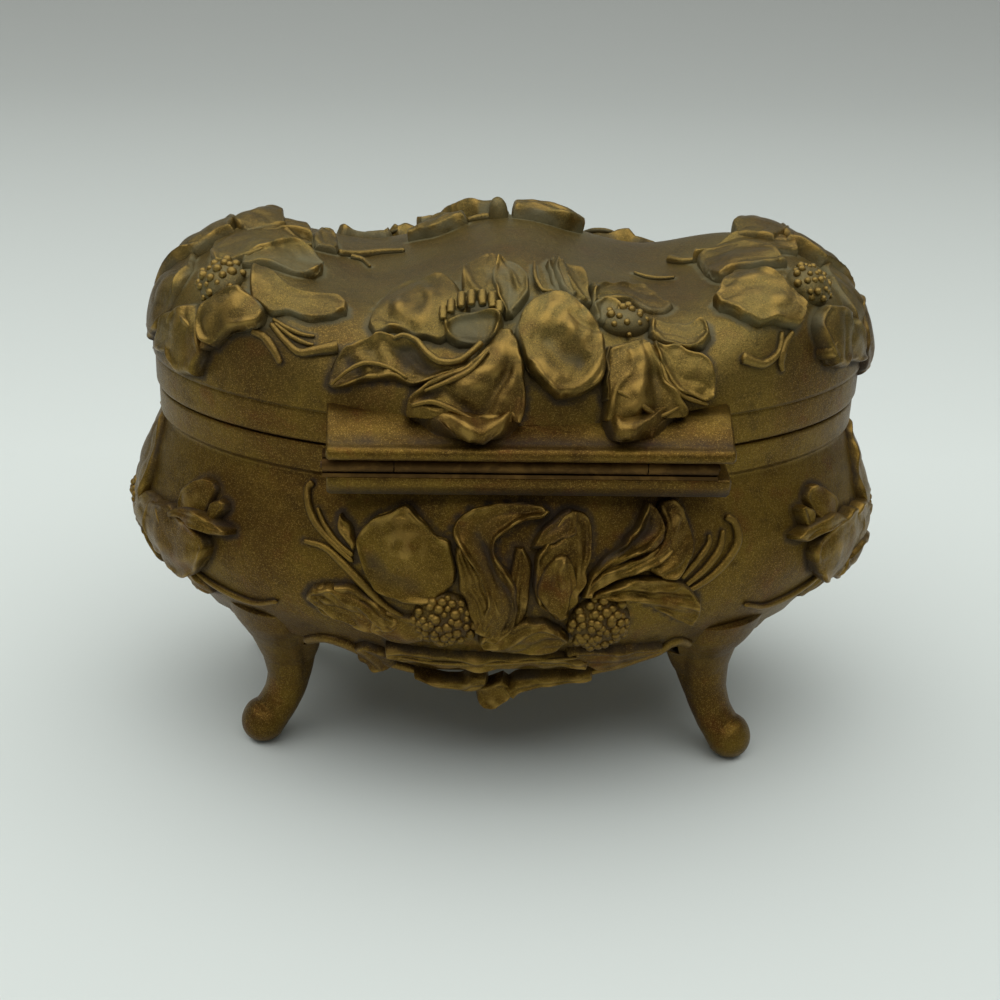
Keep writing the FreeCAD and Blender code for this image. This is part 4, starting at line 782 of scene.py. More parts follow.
    (((-6.4, 70.0), (-6.5, 68.8), (-6.5, 67.6)),
     dict(radius=(0.75, 0.85, 0.7), lift=3.0)),  # knobE
    (((-4.9, 69.6), (-4.9, 68.3), (-4.9, 67.1)),
     dict(radius=(0.75, 0.85, 0.7), lift=3.0)),  # knobF
    (((-3.8, 68.1), (-3.8, 67.2), (-3.9, 66.3)),
     dict(radius=(0.75, 0.85, 0.7), lift=3.0)),  # knobG
    (((5.7, 72.1), (3.8, 72.2), (2.7, 74.9), (2.8, 78.4)),
     dict(radius=(0.3, 0.5, 0.3), lift=0.8)),  # creaseLeft
    (((-22.3, 61.9), (-20.3, 62.6), (-18.0, 61.7), (-16.3, 59.8), (-14.0, 58.3), (-10.9, 58.5),
      (-8.5, 60.1), (-6.8, 61.7)),
     dict(radius=(0.4, 0.7, 0.6), lift=2.4)),  # ruffleLip
    (((-32.6, 55.1), (-29.9, 57.1), (-26.8, 58.2), (-23.0, 57.5), (-19.5, 55.7)),
     dict(radius=(0.3, 0.5, 0.3), lift=2.2)),  # waveLip
    (((-18.8, 51.6), (-15.4, 52.1), (-12.3, 51.2), (-9.2, 49.9), (-6.4, 48.9)),
     dict(radius=(0.4, 0.6, 0.4), lift=3.6)),  # hangLip
    (((-16.6, 53.6), (-12.7, 55.0), (-8.9, 56.8), (-5.8, 59.9)),
     dict(radius=(0.3, 0.6, 0.3), lift=3.4)),  # hangRib
    (((15.8, 54.0), (19.3, 52.4), (22.9, 50.8), (26.5, 52.2)),
     dict(radius=(0.3, 0.6, 0.3), lift=3.4)),  # foldRib
    (((20.9, 62.5), (23.0, 60.8), (24.1, 58.1), (25.0, 55.7), (27.2, 54.0), (29.7, 53.2), (32.2,
      52.8)),
     dict(radius=(0.4, 0.6, 0.4), lift=2.0)),  # sideRim
], stamens=[
    dict(centre=(18.5, 66.8), half=(4.6, 2.6), rise=2.2, bead=0.7, count=14, seed=6),
])

lidRightEnd = dict(leaves=[
    (((19.0, 4.0, 17.4, -0.9), (21.6, 5.6, 17.5, -4.1), (24.2, 6.1, 19.1, -5.9), (25.2, 3.8,
      21.3, -6.1), (23.6, -0.9, 23.0, -4.8)),
     dict(lift=(2.0, 2.0, 1.6), crown=1.0, lip=(0.5, 0.5), veins=2)),  # lowPetal
    (((13.2, 5.6, 21.7, 4.4), (13.8, 8.2, 24.3, 6.6), (19.2, 10.7, 24.5, 9.6), (19.8, 13.7, 26.1,
      12.4), (18.7, 16.8, 25.0, 15.8), (20.9, 18.5, 23.3, 18.1)),
     dict(lift=(1.6, 1.3, 1.0), crown=0.2, lip=(0.4, 0.4), veins=1)),  # armPetal
    (((8.1, 3.8, 11.7, 3.9), (4.7, 7.3, 12.1, 7.9), (-0.2, 10.8, 13.4, 11.5), (0.3, 13.8, 12.5,
      14.2), (4.3, 15.3, 8.5, 15.3)),
     dict(lift=(1.6, 1.8), crown=-0.7, lip=(0.6, 0.6))),  # scoop
    (((2.7, -2.1, 8.9, -0.6), (-5.2, -1.2, 9.2, 2.4), (-9.5, 3.3, 8.7, 5.5), (-11.4, 7.3, 4.6,
      8.9), (-7.1, 10.8, 0.9, 12.0), (-3.5, 13.1, 0.3, 13.8)),
     dict(lift=(1.7, 1.2, 1.0), crown=0.3, lip=(0.4, 0.4), veins=3, veinDepth=0.2)),  # fanPetal
    (((-4.1, 13.9, -5.5, 17.1), (-8.8, 13.3, -10.7, 17.2), (-14.2, 13.8, -15.5, 16.1)),
     dict(lift=(1.2, 1.2), crown=0.3, lip=(0.4, 0.4))),  # knobLeaf
    (((-9.5, 3.3, -3.8, 7.5), (-16.1, 5.7, -6.8, 10.2), (-16.5, 9.2, -5.8, 13.0), (-13.7, 12.3,
      -4.1, 13.9)),
     dict(lift=(1.5, 1.5), crown=0.6, lip=(0.3, 0.3))),  # humpLeft
    (((16.2, -4.6, 13.2, -9.0), (20.1, -5.7, 13.3, -12.3), (22.0, -7.2, 15.3, -14.0), (21.7,
      -10.2, 18.1, -13.8)),
     dict(lift=(1.8, 2.2), crown=0.5, lip=(0.4, 0.4), veins=2)),  # rimPetal
], stems=[
    (((25.2, 6.2), (27.5, 7.2), (29.4, 8.6), (30.2, 10.7), (30.2, 13.2), (29.8, 15.2)),
     dict(radius=(0.5, 0.7, 0.9, 1.3))),  # tendril
    (((24.8, 6.8), (26.4, 8.5), (27.6, 10.4), (28.1, 12.3)),
     dict(radius=(0.4, 0.5, 0.3))),  # tendrilUpper
    (((25.4, 6.8), (27.6, 8.7), (28.8, 10.5), (29.2, 11.6)),
     dict(radius=(0.4, 0.5, 0.3))),  # tendrilMiddle
    (((25.0, 2.6), (26.3, 4.2), (28.0, 4.9), (29.5, 5.0)),
     dict(radius=(0.6, 0.9, 0.6))),  # thorn
    (((-6.1, 17.0), (-8.2, 19.8), (-10.2, 23.7), (-8.4, 28.1)),
     dict(radius=(0.8, 0.8, 0.5))),  # stem
    (((-6.1, 18.8), (-5.4, 20.6), (-1.6, 21.8)),
     dict(radius=(0.6, 0.5, 0.3))),  # stemThorn
], stamens=[
    dict(centre=(14.1, 0.0), half=(4.4, 4.4), rise=2.8, bead=0.85, count=22, seed=7),
])

lidLeftEnd = dict(leaves=[
    (((-19.2, 0.6, -16.6, 4.2), (-22.8, 0.9, -14.4, 7.3), (-24.3, 5.3, -11.6, 9.8), (-25.3, 8.7,
      -11.6, 12.0), (-23.8, 11.9, -16.0, 13.8), (-22.3, 14.3, -20.0, 15.2)),
     dict(lift=(2.0, 1.8, 1.4), crown=0.8, lip=(0.5, 0.5), veins=2)),  # lowPetal
    (((-7.2, 3.3, 0.6, 5.7), (-8.9, 7.4, 2.7, 8.4), (-9.8, 11.2, 3.3, 11.2), (-11.7, 13.8, 2.9,
      13.9), (-6.3, 15.2, 1.0, 15.6)),
     dict(lift=(1.7, 1.6), crown=0.2, lip=(0.4, 0.4), veins=2)),  # upperPetal
    (((-12.4, -8.7, -16.5, -2.7), (-14.7, -10.8, -20.3, -1.9), (-17.1, -11.7, -21.6, -4.8),
      (-19.3, -11.2, -21.6, -8.1)),
     dict(lift=(2.6, 2.6), crown=0.4, lip=(0.5, 0.5))),  # rightPetal
    (((2.7, -0.4, 10.2, -0.1), (-0.6, 5.9, 7.3, 5.5), (0.3, 9.9, 9.3, 8.6), (1.3, 13.2, 6.5,
      12.6), (2.5, 16.0, 5.6, 15.4)),
     dict(lift=(1.1, 1.1), crown=0.4, lip=(0.4, 0.4), veins=2)),  # crestPetal
], stems=[
    (((-24.3, 3.4), (-26.5, 2.5), (-28.4, 4.0), (-29.1, 6.1), (-29.4, 8.6)),
     dict(radius=(0.5, 0.7, 0.9, 1.2))),  # tendril
    (((-23.4, 1.4), (-25.4, 1.9), (-26.9, 1.4), (-27.4, 0.1)),
     dict(radius=(0.6, 0.9, 0.5))),  # thorn
    (((3.3, 15.6), (4.6, 17.2), (7.3, 18.7)),
     dict(radius=(0.6, 0.8, 1.0))),  # arm
    (((-0.6, 25.5), (-2.3, 22.8), (-3.0, 18.9)),
     dict(radius=(0.3, 0.5, 0.3))),  # chip
], stamens=[
    dict(centre=(-11.9, -0.4), half=(4.8, 4.4), rise=2.6, bead=0.75, count=28, seed=8),
])


def turned(drawing):
    # The same drawing in a mirror: left and right change places.
    swap = [-1, 1, -1, 1]
    return dict(leaves=[([tuple(np.multiply((row[2], row[3], row[0], row[1]), swap))
                          for row in stations],
                         dict(settings, lip=settings.get("lip", (0.4, 0.4))[::-1]))
                        for stations, settings in drawing["leaves"]],
                stems=[([(-right, up) for right, up in path], settings)
                       for path, settings in drawing["stems"]],
                stamens=[dict(ball, centre=(-ball["centre"][0], ball["centre"][1]))
                         for ball in drawing["stamens"]])


def below(drawing, limit):
    # The pieces of a drawing that stay under a height.
    return dict(leaves=[leafPair for leafPair in drawing["leaves"]
                        if max(max(row[1::2]) for row in leafPair[0]) < limit],
                stems=[stemPair for stemPair in drawing["stems"]
                       if max(up for right, up in stemPair[0]) < limit],
                stamens=[ball for ball in drawing["stamens"] if ball["centre"][1] < limit - 6])


bodyEnd = dict(leaves=[
    (((-7, 42, 7, 42), (-12, 48, 11, 47), (-11, 54, 10, 54), (-6, 60, 6, 60),
      (-2, 62.5, 2, 62.5)),
     dict(lift=(1.2, 1.2, 0.6, 0.2), crown=0.2, lip=(0.5, 0.5), veins=3)),
    (((-6, 46, -5, 41), (-13, 50, -11, 39), (-18, 49, -16, 39), (-21, 45, -20, 42)),
     dict(lift=(1.2, 1.7, 1.4), crown=0.2, lip=(0.4, 0.4), veins=2)),
    (((6, 46, 5, 41), (13, 50, 11, 39), (18, 49, 16, 39), (21, 45, 20, 42)),
     dict(lift=(1.2, 1.7, 1.4), crown=0.2, lip=(0.4, 0.4), veins=2)),
    (((-9, 41, -1, 41), (-10, 36, -2, 35), (-8, 32, -4, 31.5)),
     dict(lift=(1.8, 2.0, 1.2), crown=0.5, lip=(0.4, 0.4), veins=1)),
    (((9, 41, 1, 41), (10, 36, 2, 35), (8, 32, 4, 31.5)),
     dict(lift=(1.8, 2.0, 1.2), crown=0.5, lip=(0.4, 0.4), veins=1)),
    (((-12, 31, -10, 28), (-4, 31, -4, 27.5), (4, 31, 4, 27.5), (12, 31, 10, 28)),
     dict(lift=0.7, crown=0.4, lip=(0.2, 0.2))),
], stems=[
    (((19, 43), (24, 38), (30, 36), (34, 38)), dict(radius=(0.5, 0.8, 0.5))),
    (((-19, 43), (-24, 38), (-30, 36), (-34, 38)), dict(radius=(0.5, 0.8, 0.5))),
], stamens=[dict(centre=(0, 43.5), half=(4.6, 4.2), rise=1.4, bead=0.75, count=34, seed=9)])

bodyCorner = dict(leaves=[
    (((-38, 49, -38, 41), (-32, 50.5, -32, 38), (-26, 50, -26, 38), (-21, 48.5, -21.5, 41),
      (-19, 46, -19.5, 44)),
     dict(lift=(1.0, 2.0, 2.4, 1.6), crown=0.5, lip=(0.4, 0.5), veins=2, veinDepth=0.15)),
    (((-28, 50, -22, 50), (-28.5, 53, -20.5, 53), (-26, 56, -20, 56), (-23.5, 57.5, -21.5, 57.5)),
     dict(lift=(1.4, 1.2, 0.8), crown=0.5, lip=(0.3, 0.3), veins=1)),
    (((-30, 50, -29, 48), (-25, 52, -24, 49), (-19, 51.5, -18, 48.5), (-14.5, 50.5, -14.5, 49.5)),
     dict(lift=(1.6, 3.0, 2.0), crown=0.4, lip=(0.2, 0.2))),
    (((-21, 50.5, -18.5, 50), (-20.5, 53.5, -17, 53), (-18.5, 55, -17, 54.5)),
     dict(lift=(1.6, 1.8), crown=0.4, lip=(0.2, 0.2))),
    (((-31, 39, -27, 41), (-28, 35.5, -23, 37.5), (-24, 33.5, -21, 35)),
     dict(lift=(0.8, 1.0, 0.6), crown=0.4, lip=(0.2, 0.2))),
], stems=[], stamens=[])

cornerLumps = dict(leaves=[
    (((32, 41, 32, 36), (37, 42.5, 37, 33.5), (43, 42, 43, 33), (47, 40, 47, 35)),
     dict(lift=(1.2, 2.4, 2.4, 1.2), crown=0.5, lip=(0.4, 0.4), veins=3, ruffle=0.5))],
    stems=[], stamens=[])

lidEndFace = dict(leaves=[
    (((-5, 50, 6, 50), (-10, 55, 10, 55), (-10, 60, 9, 61), (-4, 65, 4, 65)),
     dict(lift=(1.0, 1.2, 1.2, 1.0), crown=0.4, lip=(0.5, 0.5), veins=3)),
    (((9, 50, 14, 52), (11, 54, 21, 57), (11, 58, 22, 60), (14, 61, 18, 61)),
     dict(lift=(1.2, 2.0, 1.4), crown=0.5, lip=(0.4, 0.4), veins=2, veinDepth=0.15)),
    (((-14, 52, -9, 50), (-21, 57, -11, 54), (-22, 60, -11, 58), (-18, 61, -14, 61)),
     dict(lift=(1.2, 2.0, 1.4), crown=0.5, lip=(0.4, 0.4), veins=2, veinDepth=0.15)),
], stems=[], stamens=[])

lidEndFaceLeft = dict(lidEndFace, leaves=[
    (((-7, 46, 7, 46), (-10, 51, 9, 51), (-8, 56, 8, 56), (-4, 58.5, 4, 58.5)),
     dict(lift=(1.0, 1.9, 1.4, 0.8), crown=0.4, lip=(0.5, 0.5), veins=3))]
    + lidEndFace["leaves"])
endShoulder = dict(leaves=[
    (((-4, -6, -6, 2), (-8, -14, -14, 2), (-12, -19, -20, -4), (-16, -20, -21, -12)),
     dict(lift=(1.8, 3.4, 3.6, 2.6), crown=0.4, lip=(0.5, 0.5), veins=3)),
    (((-4, 4, -8, 10), (-12, 0, -15, 9), (-18, -3, -20, 5), (-22, -2, -22, 2)),
     dict(lift=(1.6, 3.0, 3.2, 2.0), crown=0.4, lip=(0.4, 0.4), veins=2))],
    stems=[], stamens=[])

lidCrest = dict(leaves=[
    (((0.5, 13, 0.5, 17.5), (4, 12.5, 4, 18.5), (9, 13, 9, 19), (13, 15, 13, 18.5),
      (14.5, 16.5, 14.5, 17.5)),
     dict(lift=(1.6, 2.4, 2.0, 1.2), crown=1.4, lip=(0.2, 0.2))),
    (((-8, 13, -8, 17), (-12, 12, -12, 18), (-16, 12.5, -16, 18), (-19.5, 14, -19.5, 17)),
     dict(lift=(1.2, 2.0, 1.8, 0.8), crown=0.8, lip=(0.3, 0.3), veins=1)),
], stems=[(((-8, 15), (-5, 14.5), (-3, 14)), dict(radius=(0.6, 0.9, 0.6)))],
    stamens=[dict(centre=(-2.2, 14.0), half=(1.9, 1.9), rise=3.4, bead=0.1, count=4)])


def outward(part):
    # Turns the faces round if the part's signed volume is negative.
    total = 0.0
    for group in part["faces"]:
        corners = part["places"][group]
        for step in range(1, group.shape[1] - 1):
            total += np.einsum("ij,ij->i", corners[:, 0],
                               np.cross(corners[:, step], corners[:, step + 1])).sum()
    if total < 0:
        part["faces"] = [group[:, ::-1] for group in part["faces"]]
    return part


def lathe(rows, firstTip=None, lastTip=None):
    # Closed skin over rows of rings, with a tip at either end.
    rows = np.asarray(rows)
    count, sides = rows.shape[:2]
    places, faces = [rows.reshape(-1, 3)], [gridFaces(count, sides, True)]
    ring = np.arange(sides)
    for tip, start, flip in ((firstTip, 0, True), (lastTip, (count - 1) * sides, False)):
        if tip is not None:
            faces.append(fanFaces(start + ring, sum(map(len, places)), flip))
            places.append(np.asarray([tip], float))
    return outward(dict(places=np.vstack(places), faces=faces))


def ovals(table, turn):
    # Rings of ovals from a table of height, half length and half width.
    table = np.asarray(table, float)
    return np.stack([table[:, 1:2] * np.cos(turn), table[:, 2:3] * np.sin(turn),
                     np.repeat(table[:, :1], len(turn), 1)], -1)


def bodyShell(values, sides=520):
    turn = np.linspace(0, 2 * math.pi, sides, endpoint=False)
    heights = np.concatenate([[68.5, 68.3], np.linspace(68.0, 60.0, 34),
                              np.linspace(59.5, 30.5, 54)])
    halfLong, halfWide = bodyHalves(heights)
    halfLong[0] -= 0.35
    halfWide[0] -= 0.35
    halfLong[1] -= 0.1
    halfWide[1] -= 0.1
    outer = ovals(np.stack([heights, halfLong, halfWide], -1), turn)
    # The lower edge drops in the middle of each side and rises a little over the pendant.
    level = ovals([(27, 59.8, 37.8)], turn)[0]
    hem = (values["hem"]
           - values["hemDropLong"] * (1 - smoothStep(14, 32, np.abs(level[:, 0])))
           + values["hemRise"] * bump(level[:, 0], 0, 9)
           - values["hemDropEnd"] * (1 - smoothStep(8, 22, np.abs(level[:, 1]))))
    skirt = []
    for share in np.linspace(0, 1, 14):
        height = 30.0 + (hem - 30.0) * share
        halfLong, halfWide = bodyHalves(height)
        skirt.append(np.stack([halfLong * np.cos(turn), halfWide * np.sin(turn), height], -1))
    skirt = np.array(skirt)
    edge = skirt[-1]
    radial = edge * [1, 1, 0] / np.linalg.norm(edge * [1, 1, 0], axis=1, keepdims=True)
    under = [edge - radial * 0.5 - [0, 0, 0.35], edge - radial * (values["hemThick"] - 0.5)
             - [0, 0, 0.35], edge - radial * values["hemThick"]]
    plate = ovals([(24.6, 53.2, 32.7), (24.0, 50.0, 30.0), (23.4, 40.0, 24.0),
                   (23.0, 20.0, 12.0)], turn)
    inside = ovals(values["cavity"], turn)
    inner = ovals([(68.5, 63.0, 35.0)], turn)
    rows = np.concatenate([plate[::-1], under[::-1], skirt[::-1], outer[::-1], inner,
                           inside[1:]])
    return lathe(rows, (0, 0, values["floor"]), (0, 0, 25.0))


def lidShell(values, sides=520):
    turn = np.linspace(0, 2 * math.pi, sides, endpoint=False)
    share = np.concatenate([np.linspace(0, 0.9, 260), 1 - 0.1 * (1 - np.linspace(
        0, 1, 400)[1:]) ** 3.0])[:, None]
    x = share * values["long"] * np.cos(turn)
    y = share * values["wide"] * np.sin(turn)
    fine = np.stack([x, y, domeHeight(x, y)], -1)
    length = np.concatenate([np.zeros((1, sides)), np.cumsum(np.linalg.norm(
        np.diff(fine, axis=0), axis=-1), 0)])
    length /= length[-1]
    rowCount = 120
    dome = []
    for level in np.linspace(0, 1, rowCount)[1:]:
        index = np.minimum((length <= level).sum(0) - 1, len(share) - 2)
        column = np.arange(sides)
        low, high = length[index, column], length[index + 1, column]
        part = ((level - low) / np.maximum(high - low, 1e-9))[:, None]
        dome.append(fine[index, column] * (1 - part) + fine[index + 1, column] * part)
    band = ovals([(height, values["long"] + out, values["wide"] + out)
                  for height, out in values["band"]], turn)
    hollow = ovals(values["hollow"], turn)
    rows = np.concatenate([dome, band, hollow])
    return lathe(rows, (0, 0, float(domeHeight(0.0, 0.0))), (0, 0, 87.4))


def rail(profile, start, end, bevel=0.5):
    # A profile in Y and Z carried along X, its ends drawn in a little and its inner side kept
    # inside the oval wall.
    profile = np.asarray(profile, float)
    middle = profile.mean(0)
    ray = profile - middle
    ray /= np.linalg.norm(ray, axis=1, keepdims=True)
    rows = []
    for x in np.concatenate([[start], np.linspace(start + bevel, end - bevel, 24), [end]]):
        ring = profile - ray * (bevel if x in (start, end) else 0)
        ring[:, 0] = np.maximum(ring[:, 0], 36.3 * math.sqrt(1 - (x / 64.3) ** 2))
        rows.append(np.column_stack([np.full(len(ring), x), ring]))
    return lathe(rows, (start, *middle), (end, *middle))


def roundedProfile(points, radius=0.4, steps=4):
    # Closed outline with its corners cut to short curves.
    points = np.asarray(points, float)
    before, after = np.roll(points, 1, 0), np.roll(points, -1, 0)
    share = np.linspace(0, 1, steps)[None, :, None]
    reach = [np.minimum(radius, 0.45 * np.linalg.norm(other - points, axis=1))[:, None]
             * (other - points) / np.linalg.norm(other - points, axis=1, keepdims=True)
             for other in (before, after)]
    start, end = points + reach[0], points + reach[1]
    return ((1 - share) ** 2 * start[:, None] + 2 * share * (1 - share) * points[:, None]
            + share ** 2 * end[:, None]).reshape(-1, 2)


footValues = dict(turn=dict(right=22.5, left=29.5), kneeOut=dict(right=2.4, left=0.0),
                  centre=((44.0, 33.0), (43.8, 28.5), (43.6, 23.5), (44.2, 18.0), (45.2, 13.0),
                          (46.8, 8.9), (48.7, 6.0), (50.4, 4.4)),
                  radius=(13.4, 11.6, 8.2, 5.8, 4.7, 4.3, 4.3, 4.9), flat=0.84)


def foot(values, endWord, sideX, sideY, sides=64, count=90):
    # A leg swept down a curve that turns out at the toe. Its knee has a keel between two
    # grooves, with scrolls beside them, and its toe is a ball.
    centre = alongCurve(values["centre"], count)
    radius = np.interp(np.linspace(0, 1, count), np.linspace(0, 1, len(values["radius"])),
                       values["radius"])
    centre[:, 0] += values["kneeOut"][endWord] * smoothStep(9, 26, centre[:, 1])
    step = np.gradient(centre, axis=0)
    step /= np.linalg.norm(step, axis=1, keepdims=True)
    ball = np.linspace(0, math.pi / 2, 12)[1:]
    centre = np.vstack([centre, centre[-1] + np.outer(np.sin(ball) * radius[-1], step[-1])])
    step = np.vstack([step, np.repeat(step[-1:], len(ball), 0)])
    radius = np.append(radius, np.maximum(radius[-1] * np.cos(ball), 0.05))
    turn = np.linspace(0, 2 * math.pi, sides, endpoint=False)
    # Section: out is away from the casket, side is across the foot.
    out = np.stack([-step[:, 1], step[:, 0]], -1)
    knee = smoothStep(9, 22, centre[:, 1])[:, None]
    around = np.abs((turn + math.pi) % (2 * math.pi) - math.pi)
    spread = 0.30 + 0.55 * smoothStep(14, 30, centre[:, 1])[:, None]
    keel = (1 + knee * (0.10 * bump(around, 0, 0.25) - 0.20 * bump(around, spread, 0.13)
                        + 0.10 * bump(around, spread + 0.32, 0.22)
                        - 0.08 * bump(around, spread + 0.85, 0.20)))
    across = radius[:, None] * keel * np.sin(turn)
    deep = radius[:, None] * keel * np.cos(turn) * values["flat"]
    reach = centre[:, :1] - out[:, :1] * deep
    height = np.maximum(centre[:, 1:] - out[:, 1:] * deep, 0.0)
    angle = math.radians(values["turn"][endWord])
    along = np.array([math.cos(angle), math.sin(angle), 0])
    side = np.array([-math.sin(angle), math.cos(angle), 0])
    rows = (reach[..., None] * along + across[..., None] * side
            + height[..., None] * np.array([0, 0, 1.0]))
    # The top keeps out of the lined hollow.
    halfLong, halfWide = bodyHalves(rows[..., 2])
    share = np.hypot(rows[..., 0] / (halfLong - 1.2), rows[..., 1] / (halfWide - 1.2))
    push = np.where(rows[..., 2] > 23.6, np.maximum(1 / np.maximum(share, 0.05), 1), 1)
    rows = rows * np.stack([push, push, np.ones_like(push)], -1)
    rows = rows * [sideX, sideY, 1]
    return lathe(rows, rows[0].mean(0), rows[-1].mean(0))


def silkFinish(name, colour):
    # Faded satin: a soft sheen, a fine weave and slow changes of tone.
    finish = Finish(name)
    spot = finish.place()
    tone = finish.noise(spot, 0.05, 3, 0.6)
    weave = finish.node("ShaderNodeTexWave", dict(bands_direction="Z"), Vector=spot, Scale=6.0,
                        Distortion=1.5, out="Fac")
    stained = tuple(value * 0.72 for value in linear(*colour))
    shade = finish.blend(tone.ramp(0.35, 0.7), stained, linear(*colour))
    normal = finish.node("ShaderNodeBump", {}, Strength=0.25, Distance=0.0002, Height=weave)
    return finish.feed(Base_Color=shade, Roughness=0.42 + tone * 0.2, Sheen_Weight=0.4,
                       Normal=normal)


def metalFinish(name, colour, worn, roughness=0.42):
    finish = Finish(name)
    spot = finish.place()
    patches = finish.noise(spot, 0.22, 5, 0.65, 0.6)
    grain = finish.noise(spot, 3.5, 2, 0.6)
    shade = finish.blend(patches.ramp(0.42, 0.66), linear(*colour), linear(*worn))
    normal = finish.node("ShaderNodeBump", {}, Strength=0.6, Distance=0.0004,
                         Height=patches * 0.5 + grain * 0.12)
    return finish.feed(Base_Color=shade, Roughness=roughness + patches * 0.2, Metallic=0.85,
                       Normal=normal)


gilt = giltFinish("antiqueGilt", giltValues)
coppery = metalFinish("wornHingeBrass", (72, 50, 18), (104, 76, 34))
steel = metalFinish("pinSteel", (70, 52, 34), (110, 84, 52))
silk = silkFinish("ivorySatin", (214, 200, 172))
board = metalFinish("pasteboard", (120, 108, 88), (140, 126, 102))
board.node_tree.nodes["Principled BSDF"].inputs["Metallic"].default_value = 0
print("finishes made")

# The ledge below the knuckles, with painted shade underneath, and the roll along the lid's edge above
# them.
ledge = rail(roundedProfile([(34, 66.6), (42.3, 66.6), (42.3, 65.0), (40.6, 62.6), (37, 61.9),
                             (34, 62.2)], 0.6), -37.0, 33.8)
ledge["dust"] = 1 - smoothStep(62.5, 65.6, ledge["places"][:, 2])
makePiece("hinge_ledge", ledge, "base", gilt)
roll = alongCurve([(43.1, 73.2), (44.5, 73.0), (45.1, 72.0), (44.7, 71.0), (43.4, 70.4)], 14)
block = rail(np.vstack([[(33, 70.85), (40.3, 70.85), (42.5, 71.0)], roll[::-1],
                        [(42.6, 73.5), (40.4, 75.0), (37.0, 76.6), (33, 77.4)]]), -37.0, 33.8)
# A dark line along the crease above the roll: painted shade.
block["dust"] = 0.8 * bump(block["places"][:, 2], 73.4, 0.3)
makePiece("hinge_block", block, "lid", gilt)
for endWord, sideX in (("right", 1), ("left", -1)):
    for faceWord, sideY in (("back", 1), ("front", -1)):
        name = "foot_%s_%s" % (faceWord, endWord)
        makePiece(name + "_leg", foot(footValues, endWord, sideX, sideY), "base", gilt,
                  [name])
for node, finish in (("body_hinge_leaf", coppery), ("lid_hinge_leaf", coppery),
                     ("hinge_pin", steel), ("floor_card", board), ("lid_card", board)):
    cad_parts[node].data.materials.clear()
    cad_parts[node].data.materials.append(finish)
print("castings, feet and hinge made")

sets = [("body_back_flowers", "base", Canvas(insideBody, 180, 0, (-44, 14, 44, 62), 2),
         bodySide),
        ("body_front_flowers", "base", Canvas(insideBody, 0, 0, (-44, 14, 44, 62), 2), bodySide),
        ("lid_back_flowers", "lid", Canvas(insideLid, 180, 28, (-42, 42, 42, 84), 3), lidSide),
        ("lid_front_flowers", "lid", Canvas(insideLid, 0, 28, (-42, 42, 42, 84), 3),
         below(lidSide, 72.5)),
        ("lid_right_flowers", "lid", Canvas(insideLid, 90, 60, (-30, -24, 30, 30), 2),
         lidRightEnd),
        ("lid_left_flowers", "lid", Canvas(insideLid, -90, 60, (-30, -24, 30, 30), 2),
         lidLeftEnd),
        ("lid_crest", "lid", Canvas(insideLid, 180, 90, (-40, -30, 40, 30), 2), lidCrest)]
for word, yaw in (("right", 90), ("left", -90)):
    sets.append(("body_%s_blossom" % word, "base",
                 Canvas(insideBody, yaw, 0, (-40, 24, 40, 66), 2), bodyEnd))
    sets.append(("lid_%s_end_petals" % word, "lid",
                 Canvas(insideLid, yaw, 20, (-34, 42, 34, 74), 2),
                 lidEndFace if word == "right" else lidEndFaceLeft))
    sets.append(("lid_%s_shoulder_petals" % word, "lid",
                 Canvas(insideLid, yaw, 60, (-30, -24, 30, 30), 2),
                 endShoulder if word == "right" else turned(endShoulder)))
sets.append(("body_left_lumps", "base", Canvas(insideBody, -135, 0, (20, 28, 60, 50), 2),
             cornerLumps))
for word, yaw, drawing in (("back_right", 135, bodyCorner), ("front_left", -45, bodyCorner),
                           ("back_left", -135, turned(bodyCorner)),
                           ("front_right", 45, turned(bodyCorner))):
    sets.append(("body_%s_petals" % word, "base",
                 Canvas(insideBody, yaw, 0, (-50, 28, 50, 62), 2), drawing))
outlines = dict(base=[], lid=[])
for name, body, canvas, drawing in sets:
    made = [leaf(canvas, stations, **settings) for stations, settings in drawing["leaves"]]
    made += [stem(canvas, path, **settings) for path, settings in drawing["stems"]]
    made += [stamens(canvas, **settings) for settings in drawing["stamens"]]
    outlines[body] += [part["outline"][::3] for part in made]
    makePiece(name, joinParts(made), body, gilt)
    print(name, "made,", sum(len(group) for part in made for group in part["faces"]), "faces")


def nearness(places, marks, reach=1.5):
    # 1 beside the outlines of the relief, falling to 0 at a reach from them.
    marks = np.concatenate(marks)
    square = [((part ** 2).sum(1)[:, None] + (marks ** 2).sum(1) - 2 * part @ marks.T).min(1)
              for part in np.array_split(places, 40)]
    return 1 - smoothStep(0.2, reach, np.sqrt(np.maximum(np.concatenate(square), 0)))


for word, part, body in (("body", bodyShell(bodyValues), "base"),
                         ("lid", lidShell(lidValues), "lid")):
    # Around the relief's outlines the shells darken as painted shade, with pale dust instead high on the
    # lid.
    part["dust"] = nearness(part["places"], outlines[body])
    makePiece(word + "_shell", part, body, gilt, [word + "_casting"])
print("shells made")


